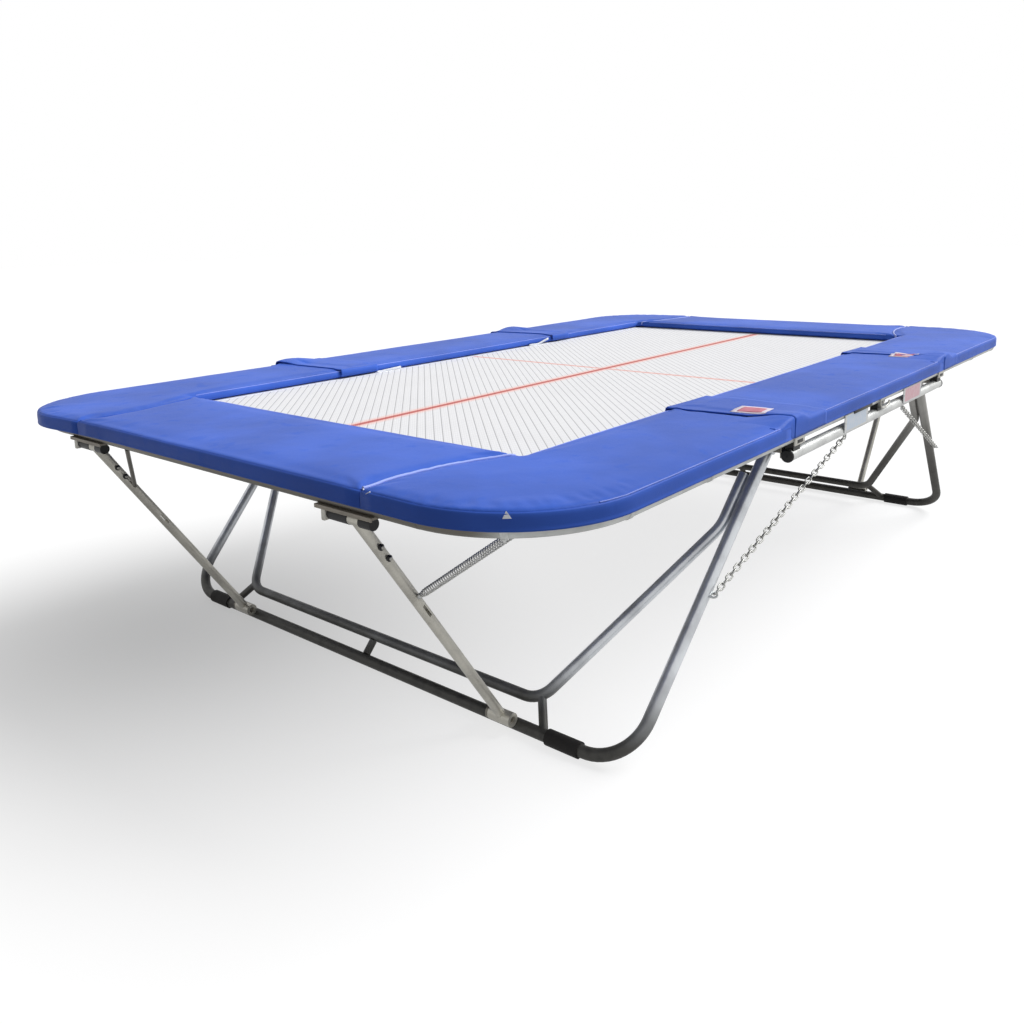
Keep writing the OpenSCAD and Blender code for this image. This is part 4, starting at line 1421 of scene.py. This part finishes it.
@dataclass
class CornerSeams:
    """The raised seams between the end pads and the corner pads, with their pinched folds; their
    pale colours are painted highlights.
    """

    pads: PadSet
    radius: float = 0.0048
    steps: int = 42
    inner_z: Pair = (0.960, 0.974)
    fold_r: float = 0.0019
    folds: dict[str, tuple[Triple, ...]] = field(
        default_factory=lambda: {
            "upper": ((2.262, 0.766, 0.985), (2.277, 0.774, 0.981), (2.290, 0.785, 0.966)),
            "lower": ((2.282, 0.806, 0.980), (2.288, 0.795, 0.972), (2.290, 0.786, 0.960)),
        }
    )
    peak: tuple[Triple, ...] = ((2.204, 1.194, 0.985), (2.202, 1.209, 0.962), (2.218, 1.193, 0.962))
    peak_lifts: Triple = (0.0016, 0.0050, 0.0050)
    peak_thick: float = 0.0016

    def build(self) -> None:
        """Builds the four seams, pale with a painted highlight except at the back left, and the
        folds where the seam is pale.
        """
        for quarter in QUARTERS:
            names = (f"{quarter.end.word}_end_pad", f"{quarter.word}_pad")
            surface = surface_of(self.pads.pads[name] for name in names)
            # The back left seam gets plain blue, no painted highlight.
            unlit_seam = quarter == (End.LEFT, Flank.BACK)
            self.seam(quarter, surface, PAD_BLUE if unlit_seam else PAD_SEAM_HIGHLIGHT)
            if not unlit_seam:
                self.tuck(quarter, surface)

    def seam(self, quarter: Quarter, surface: BVHTree, finish: Finish) -> None:
        """Builds one seam from the opening's corner to the outer edge."""
        sx, sy = quarter.end.value, quarter.flank.value
        line = [quarter.turned((x, y, 0)) for x, y in self.pads.seam(0, self.steps)]
        points = [Vector((line[0].x + sx * 0.001, line[0].y, z)) for z in self.inner_z]
        for at in line[1:-1]:
            tops = [height_at(surface, at.x, y) for y in (at.y, at.y + sy * 0.012)]
            top = max([z for z in tops if z is not None] or [TOP - 0.006])
            points.append(Vector((at.x, at.y, top - 0.0008)))
        points = [Vector((*self.pads.bulge(p.x, p.y), p.z)) for p in points]
        piece = tube(f"{quarter.word}_corner_seam", points, self.radius, finish, 8)
        carry(piece, quarter.end.frame)

    def tuck(self, quarter: Quarter, surface: BVHTree) -> None:
        """The pinched folds at the seam's outer end and the small peak on the corner, near white as
        painted glints.
        """
        for key, places in self.folds.items():
            ends = [quarter.turned((-x, -y, z)) for x, y, z in places]
            points = [self.pads.resting(surface, at, 0.0006) for at in ends]
            fold = tube(f"{quarter.word}_{key}_fold", points, self.fold_r, PAD_GLINT, 8)
            carry(fold, quarter.end.frame)
        bm = bmesh.new()
        for (x, y, z), lift in zip(self.peak, self.peak_lifts):
            bm.verts.new(self.pads.resting(surface, quarter.turned((-x, -y, z)), lift))
        middle = sum((v.co for v in bm.verts), Vector()) / 3
        face = bm.faces.new(bm.verts)
        face.normal_update()
        if face.normal.dot(Vector((middle.x, middle.y, 1.0))) < 0:
            face.normal_flip()
        bmesh.ops.solidify(bm, geom=[face], thickness=self.peak_thick)
        bmesh.ops.recalc_face_normals(bm, faces=bm.faces)
        piece = add_piece(f"{quarter.word}_corner_peak", bm, PAD_GLINT, smooth=False)
        carry(piece, quarter.end.frame)


# ---------------------------------------------------------------- bed and springs


@dataclass
class Bed:
    """The woven bed in three sheets that join at the folds."""

    half_l: float = 1.858
    half_w: float = 0.943
    height: float = 0.9365
    thickness: float = 0.0045
    split: float = 0.74
    bend: Pair = (0.78, 1.00)
    lap: float = 0.012
    hem_low: float = 0.0015
    hem_high: float = 0.0013
    hem_edge: float = 0.0006
    hem_step: float = 0.03

    def sheet(self, word: str, low_x: float, high_x: float, cells: int) -> Object:
        """One flat sheet of the bed, in place of its CAD node."""
        bm = bmesh.new()
        bmesh.ops.create_grid(bm, x_segments=cells, y_segments=12, size=1.0)
        bmesh.ops.scale(bm, vec=((high_x - low_x) / 2, self.half_w, 1), verts=bm.verts)
        middle = ((low_x + high_x) / 2, 0, self.height + self.thickness / 2)
        bmesh.ops.translate(bm, vec=middle, verts=bm.verts)
        bmesh.ops.solidify(bm, geom=bm.faces, thickness=self.thickness)
        bmesh.ops.recalc_face_normals(bm, faces=bm.faces)
        obj = add_piece(f"{word}_bed_sheet", bm, WHITE_WEB, smooth=False)
        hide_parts(f"{word}_bed")
        return obj

    def hem(self, name: str, a: Pair, b: Pair) -> Object:
        """A folded band along the bed's edge, between two corners in plan."""
        top = self.height + self.thickness / 2
        low = (min(a[0], b[0]), min(a[1], b[1]), top - self.hem_low)
        high = (max(a[0], b[0]), max(a[1], b[1]), top + self.hem_high)
        bm = block(low, high, self.hem_edge)
        size = (high[0] - low[0], high[1] - low[1])
        way = (1, 0, 0) if size[0] > size[1] else (0, 1, 0)
        for step in np.arange(self.hem_step, max(size), self.hem_step):
            cut = [corner + step * part for corner, part in zip(low, way)]
            whole = bm.verts[:] + bm.edges[:] + bm.faces[:]
            bmesh.ops.bisect_plane(bm, geom=whole, plane_co=cut, plane_no=way)
        obj = add_piece(name, bm, HEM_WEB, smooth=False)
        return obj

    def side_hems(self, word: str, low_x: float, high_x: float) -> list[Object]:
        """The hems along both long edges of one sheet."""
        hems = []
        for side in (-1, 1):
            outer, inner = side * self.half_w, side * (OPEN_Y - self.lap)
            hems.append(self.hem(f"{word}_bed_hem_{side + 1}", (low_x, outer), (high_x, inner)))
        return hems

    def build(self) -> None:
        """Builds the three sheets and their hems."""
        middle = self.sheet("middle", -self.split, self.split, 16)
        hems = self.side_hems("middle", -self.split, self.split)
        for piece in (middle, *hems):
            carry(piece, MIDDLE)
        for end in End:
            self.build_end(end)

    def build_end(self, end: End) -> None:
        """The sheet over one end frame, with its hems."""
        s = end.value
        low, high = sorted((s * self.split, s * self.half_l))
        sheet = self.sheet(end.word, low, high, 44)
        hems = self.side_hems(end.word, low, high)
        edge = ((s * self.half_l, -self.half_w), (s * (OPEN_X - self.lap), self.half_w))
        end_hem = self.hem(f"{end.word}_bed_end_hem", *edge)
        carry(end_hem, end.frame)
        for piece in (sheet, *hems):
            end.frame
            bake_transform(piece)
            LOG.info("%s bends from %s to %s", piece.name, MIDDLE, end.frame)
        f"{end.word}_springs"


@dataclass
class BedSprings:
    """The springs between the bed and the rails."""

    bed_half_l: float = 1.830
    bed_half_w: float = 0.915
    height: float = 0.936
    pitch: float = 0.095
    rod: float = 0.0024
    barrel: float = 0.0082
    hook: float = 0.042
    play: float = 0.0003
    fold_room: float = 0.036
    end_room: float = 0.030
    corner_room: float = 0.035

    def one(self, length: float) -> bpy.types.Mesh:
        """One spring along +X from the origin."""
        r, h, b = self.rod, self.hook, self.barrel
        half = [(0, 0), (r, 0), (r, h - 0.012), (b * 0.8, h), (b, h + 0.006)]
        profile = [*half, *((radius, length - at) for radius, at in reversed(half))]
        bm = lathe(profile, pointing((0, 0, 0), (1, 0, 0)), 8)
        mesh = bpy.data.meshes.new("one_spring")
        bm.to_mesh(mesh)
        bm.free()
        return mesh

    def row(
        self, name: str, places: Sequence[Matrix], length: float, finish: Finish, body: str
    ) -> Object:
        """Many springs as one piece."""
        obj = add_piece(name, copies(self.one(length), places), finish)
        carry(obj, body)
        LOG.info("%s: %d springs", name, len(places))
        return obj

    def spaced(self, low: float, high: float) -> list[float]:
        """Even places from low to high, no further apart than the pitch."""
        n = math.ceil((high - low) / self.pitch)
        return [low + (high - low) * i / n for i in range(n + 1)]

    def at(self, x: float, y: float, turn: float) -> Matrix:
        """The place of a spring that starts at the bed's edge, by its turn about Z."""
        return Matrix.Translation((x, y, self.height)) @ Matrix.Rotation(turn, 4, "Z")

    def side_places(self, low: float, high: float) -> list[Matrix]:
        """Where the springs of both long sides stand between two X."""
        y = self.bed_half_w + self.play
        return [self.at(x, s * y, s * math.pi / 2) for x in self.spaced(low, high) for s in (-1, 1)]

    def build(self) -> None:
        """Builds the springs of the three frames."""
        face = math.sqrt(TUBE_R**2 - (self.height - RAIL_Z) ** 2)
        side_len = RAIL_Y - face - self.bed_half_w - 2 * self.play
        end_len = RAIL_X - face - self.bed_half_l - 2 * self.play
        fold = FOLD_X - self.fold_room
        places = self.side_places(-fold, fold)
        middle = self.row("middle_side_springs", places, side_len, SIDE_SPRING, MIDDLE)
        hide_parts("middle_springs")
        half = self.bed_half_w - self.corner_room
        for end in End:
            s = end.value
            ends = (self.bed_half_l - self.end_room, FOLD_X + self.fold_room)
            low, high = sorted(s * x for x in ends)
            name = f"{end.word}_side_springs"
            sides = self.row(name, self.side_places(low, high), side_len, SIDE_SPRING, end.frame)
            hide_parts(f"{end.word}_springs")
            x, turn = s * (self.bed_half_l + self.play), math.pi if s < 0 else 0
            places = [self.at(x, y, turn) for y in self.spaced(-half, half)]
            self.row(f"{end.word}_end_springs", places, end_len, END_SPRING, end.frame)


@dataclass
class StrutSprings:
    """The long coil from each strut to the end rail's corner."""

    seat: Triple = (-2.05685, -0.722, 0.58999)
    eye: Triple = (-2.1268, -1.1918, 0.924)
    wire: float = 0.0019
    radius: float = 0.0104
    turns: int = 46
    turn_steps: int = 10
    ferrule_l: float = 0.022
    ferrule_r: float = 0.0078
    start: float = 0.017
    overlap: float = 0.006
    stop: float = 0.020
    hook_r: float = 0.0088
    hook_back: float = 0.0135
    hook_turn: tuple[float, float, int] = (-2.4, 2.6, 22)
    keep: float = 0.35

    def coil(self, begin: float, length: float) -> list[Vector]:
        """The wire's middle line along +Z, from one end to the other."""
        points = []
        steps = self.turns * self.turn_steps
        for i in range(steps + 1):
            share = i / steps
            r = self.radius * min(1.0, 8 * share + 0.55, 8 * (1 - share) + 0.45)
            angle = 2 * math.pi * self.turns * share
            x, y = r * math.cos(angle), r * math.sin(angle)
            points.append(Vector((x, y, begin + length * share)))
        return points

    def build(self) -> None:
        """Builds the four springs."""
        seat, eye = Vector(self.seat), Vector(self.eye)
        run = (eye - seat).length
        place = pointing(seat, eye - seat)
        begin = self.start + self.ferrule_l - self.overlap
        coil = self.coil(begin, run - begin - self.stop)
        r, z, turns = self.hook_r, run - self.hook_back, np.linspace(*self.hook_turn)
        hook = [Vector((r * math.cos(a), 0, z + r * math.sin(a))) for a in turns]
        r, z, top = self.ferrule_r, self.start, self.start + self.ferrule_l
        ferrule = [(0, z), (r * 0.8, z), (r, z + 0.003)]
        ferrule += [(r, z + self.ferrule_l * 0.8), (r * 0.7, top), (0, top)]
        for quarter in QUARTERS:
            wires = []
            for word, line in (("coil", coil), ("hook", hook)):
                name = f"{quarter.word}_spring_{word}"
                points = [quarter.turned(place @ p) for p in line]
                wires.append(tube(name, points, self.wire, STRUT_WIRE, 6))
            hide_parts(f"{quarter.word}_strut_spring")
            bm = mirror(lathe(ferrule, place, 20), quarter.ways)
            for obj in (*wires, add_piece(f"{quarter.word}_spring_ferrule", bm, ZINC)):
                carry(obj, f"{quarter.word}_strut_arm")
            joint = f"{quarter.word}_strut_swing"
            way, anchor = tuple(quarter.turned(eye - seat)), tuple(quarter.turned(seat))
            for obj in wires:
                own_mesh(obj)


# ---------------------------------------------------------------- small parts


def drape(
    name: str, corners: Sequence[Pair], surface: BVHTree, finish: Finish, lift: float
) -> Object:
    """A small sewn piece laid on the pads between four plan corners.

    Args:
        name: The piece's name.
        corners: Its plan corners in order.
        surface: What it lies on.
        finish: The finish it wears.
        lift: How far its upper face stands over the surface.

    Returns:
        The piece, 1 mm thick.
    """
    a, b, c, d = (Vector((*p, 0)) for p in corners)
    shares = [i / 10 for i in range(11)]
    grid = []
    for i in shares:
        row = [a.lerp(b, i).lerp(d.lerp(c, i), j) for j in shares]
        grid.append([(at.x, at.y, height_at(surface, at.x, at.y) + lift) for at in row])
    return skin(name, grid, 0.001, finish, UP)


class Patch(NamedTuple):
    """A plain sewn patch: its plan corners, and the size that it was cut to."""

    corners: tuple[Pair, ...]
    flat: Pair


@dataclass
class PadTrim:
    """The plain patches on the front pads, and the tie tapes before the back one."""

    pads: PadSet
    covers: SeamCovers
    patches: tuple[Patch, ...] = (
        Patch(
            ((-0.764, -1.099), (-0.753, -1.214), (-0.863, -1.231), (-0.880, -1.107)),
            (0.115, 0.12),
        ),
        Patch(
            ((0.946, -1.105), (0.912, -1.230), (0.802, -1.243), (0.788, -1.118)),
            (0.13, 0.132),
        ),
    )
    patch_lift: float = 0.0014
    middle_lift: float = 0.0019
    middle_share: float = 0.70
    tapes: tuple[tuple[Pair, ...], ...] = (
        ((-0.754, 0.974), (-0.716, 0.943), (-0.559, 0.949)),
        ((0.512, 0.946), (0.600, 0.944), (0.702, 0.968)),
    )
    tape_flat: Pair = (0.0126, 0.2)
    tape_thick: float = 0.0012

    def build(self) -> None:
        """Builds the patches and tapes."""
        surface = surface_of([*self.pads.pads.values(), *self.covers.made])
        for i, patch in enumerate(self.patches):
            middle = sum((Vector((*p, 0)) for p in patch.corners), Vector()) / 4
            inner = [middle.lerp(Vector((*p, 0)), self.middle_share)[:2] for p in patch.corners]
            pieces = [
                drape(f"front_patch_{i}", patch.corners, surface, PATCH_EDGE, self.patch_lift),
                drape(f"front_patch_{i}_middle", inner, surface, PATCH, self.middle_lift),
            ]
            for piece in pieces:
                if i == 0:
                    carry(piece, MIDDLE)
                else:
                    bend_over(piece, End.RIGHT, Flank.FRONT)
        for i, line in enumerate(self.tapes):
            tape = self.tape(f"back_tape_{i}", line)
            carry(tape, MIDDLE)

    def tape(self, name: str, line: Sequence[Pair]) -> Object:
        """A flat tape along points of X and height, hanging before the back pad's inner edge."""
        steps = np.linspace(0, len(line) - 1, 13)
        xs, zs = (np.interp(steps, range(len(line)), values) for values in zip(*line))
        upper = [(x, OPEN_Y - 0.0042, z + 0.006) for x, z in zip(xs, zs)]
        lower = [(x + 0.004, OPEN_Y - 0.0050, z - 0.006) for x, z in zip(xs, zs)]
        return skin(name, [upper, lower], self.tape_thick, TAPE, None)


@dataclass
class FrameTrim:
    """The small steel and plastic parts on the rails and struts."""

    bend_r: float = 0.370
    arc_turn: float = math.radians(216.2)
    arc_collar: Pair = (0.0236, 0.010)
    side_collar: Pair = (0.0232, 0.008)
    side_collars: Pair = (-1.89, -1.46)
    tab: tuple[Pair, ...] = ((0, -0.014), (0.007, -0.003), (0.007, 0.004), (0, 0.004))
    tab_drop: float = 0.0235
    saddle_y: Pair = (0.602, 0.826)
    saddle_x: Pair = (-2.284, -2.234)
    saddle_z: Pair = (0.862, 0.9045)
    saddle_thick: float = 0.016
    saddle_edge: float = 0.005
    bracket: tuple[Triple, Triple] = ((-0.886, -1.3496, 0.897), (-0.804, -1.3440, 0.932))
    slot: tuple[Triple, Triple] = ((-0.868, -1.3502, 0.903), (-0.822, -1.3480, 0.915))
    slot_edge: float = 0.0002
    strut_foot: Triple = (-1.68556, -0.722, 0.05646)
    strut_head: Triple = (-2.259, -0.722, 0.8805)
    bolts: Pair = (0.110, 0.158)
    bolt_sides: tuple[tuple[int, float], ...] = ((-1, 0.0275), (1, 0.0283))
    bolt: tuple[Pair, ...] = (
        (0, -0.001),
        (0.0048, -0.001),
        (0.0056, 0.0008),
        (0.0030, 0.0016),
        (0, 0.0016),
    )
    stay_line: tuple[Triple, ...] = (
        (-2.259, 0.490, 0.9030),
        (-2.2275, 0.545, 0.8540),
        (-2.132, 0.709, 0.7050),
    )
    stay_r: float = 0.0078
    latch: tuple[Triple, Triple] = ((-0.33, -1.3515, 0.9140), (-0.13, -1.3425, 0.9330))
    latch_edge: float = 0.003
    hook_line: tuple[Pair, ...] = (
        (-0.024, 0.934),
        (-0.022, 0.905),
        (-0.012, 0.889),
        (0.008, 0.883),
        (0.05, 0.884),
        (0.078, 0.890),
        (0.088, 0.903),
    )
    hook_y: float = -1.3478
    hook_r: float = 0.0042

    def put(self, name: str, bm: Mesh, finish: Finish, body: str) -> None:
        """Adds a small part on a body."""
        carry(add_piece(name, bm, finish), body)

    def collar(self, at: Point, way: Point, radius: float, half: float) -> Mesh:
        """A ring round a tube, closed through it, by its radius and half its length."""
        low = [(0, -half), (radius - 0.001, -half), (radius, -half + 0.001)]
        profile = [*low, *((r, -z) for r, z in reversed(low))]
        return lathe(profile, pointing(at, way), 28)

    def build(self) -> None:
        """Builds the small parts of the four quarters, the front's own and the stay."""
        for quarter in QUARTERS:
            for name, (bm, finish, body) in {**self.rails(quarter), **self.struts(quarter)}.items():
                self.put(f"{quarter.word}_{name}", mirror(bm, quarter.ways), finish, body)
        self.front()
        stay = tube("back_left_stay", self.stay_line, self.stay_r, STEEL, 12)
        carry(stay, "left_back_strut_arm")

    def rails(self, quarter: Quarter) -> dict[str, tuple[Mesh, Finish, str]]:
        """Collars, the saddle's end plate and the fold bracket, drawn for the front left."""
        frame = quarter.end.frame
        cos, sin = math.cos(self.arc_turn), math.sin(self.arc_turn)
        x = -RAIL_X + self.bend_r + self.bend_r * cos
        y = -RAIL_Y + self.bend_r + self.bend_r * sin
        ring = self.collar((x, y, RAIL_Z), (-sin, cos, 0), *self.arc_collar)
        tab = lathe(self.tab, pointing((x, y, RAIL_Z - self.tab_drop), UP), 6)
        parts = {"arc_collar": (ring, ZINC, frame), "arc_tab": (tab, ZINC, frame)}
        for i, x in enumerate(self.side_collars):
            ring = self.collar((x, -RAIL_Y, RAIL_Z), (1, 0, 0), *self.side_collar)
            parts[f"side_collar_{i}"] = (ring, ZINC, frame)
        y = -self.saddle_y[0 if quarter.flank is Flank.FRONT else 1]
        low, high = zip(self.saddle_x, (y - self.saddle_thick, y), self.saddle_z)
        parts["saddle_end"] = (block(low, high, self.saddle_edge), LIGHT_PLATE, frame)
        parts["fold_bracket"] = (block(*self.bracket), LIGHT_PLATE, MIDDLE)
        # Painted shade: a thin black sheet stands for the shade inside the bracket's slot.
        parts["fold_bracket_slot"] = (block(*self.slot, self.slot_edge), BLACK, MIDDLE)
        return parts

    def struts(self, quarter: Quarter) -> dict[str, tuple[Mesh, Finish, str]]:
        """The bolt faces on both sides of a strut's head, drawn for the front left."""
        head, foot = Vector(self.strut_head), Vector(self.strut_foot)
        parts = {}
        for i, drop in enumerate(self.bolts):
            at = head + (foot - head).normalized() * drop
            for side, proud in self.bolt_sides:
                face = pointing((at.x, at.y + side * proud, at.z), (0, side, 0))
                bm = lathe(self.bolt, face, 16)
                parts[f"bolt_face_{i}_{side + 1}"] = (bm, LIGHT_PLATE, f"{quarter.word}_strut_arm")
        return parts

    def front(self) -> None:
        """The latch block and the hook under the front side tube."""
        self.put("latch_block", block(*self.latch, self.latch_edge), BLACK, MIDDLE)
        line = [(x, self.hook_y, z) for x, z in self.hook_line]
        carry(tube("latch_hook", line, self.hook_r, LIGHT_PLATE, 10), MIDDLE)


@dataclass
class Chains:
    """The four chains from the side tubes to the legs, link by link."""

    anchor: Triple = (-0.349, -1.324, 0.8275)
    eye: Triple = (-1.24165, -1.24651, 0.46274)
    wire: float = 0.0030
    half_w: float = 0.0082
    links: int = 37
    play: float = 0.0036
    keep: float = 0.5

    def link(self, pitch: float) -> bpy.types.Mesh:
        """One oval link round the origin, long along Z."""
        straight = pitch / 2 + self.wire - self.half_w
        points = []
        for sign in (1, -1):
            for i in range(7):
                x, z = (self.half_w * turn(math.pi * i / 6) for turn in (math.cos, math.sin))
                points.append((sign * x, 0, sign * (straight + z)))
        obj = tube("one_link", points, self.wire, CHAIN_ZINC, 6, ring=True)
        mesh = obj.data
        bpy.data.objects.remove(obj)
        return mesh

    def build(self) -> None:
        """Builds the four chains."""
        anchor, eye = Vector(self.anchor), Vector(self.eye)
        run = (eye - anchor).normalized()
        pitch = ((eye - anchor).length - 2 * self.play - 2 * self.wire) / self.links
        one = self.link(pitch)
        places = []
        for i in range(self.links):
            spin = Matrix.Rotation(math.radians(45 + 90 * (i % 2)), 4, "Z")
            at = anchor + run * (self.play + self.wire + pitch * (i + 0.5))
            places.append(pointing(at, run) @ spin)
        for quarter in QUARTERS:
            name = f"{quarter.word}_chain"
            obj = add_piece(f"{name}_links", mirror(copies(one, places), quarter.ways), CHAIN_ZINC)
            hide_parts(name)
            carry(obj, f"{name}_run")
            way, start = tuple(quarter.turned(run)), tuple(quarter.turned(anchor))
            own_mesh(obj)


def main() -> None:
    """Builds the trampoline's looks in order."""
    logging.basicConfig(level=logging.INFO, format="%(name)s: %(message)s")
    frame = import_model()
    Studio().build()
    TubeFrame().dress(frame["nodes"])
    pads = PadSet()
    pads.build()
    covers = SeamCovers(pads)
    covers.build()
    CornerSeams(pads).build()
    Bed().build()
    BedSprings().build()
    StrutSprings().build()
    PadTrim(pads, covers).build()
    FrameTrim().build()
    Chains().build()


if __name__ == "__main__":
    main()
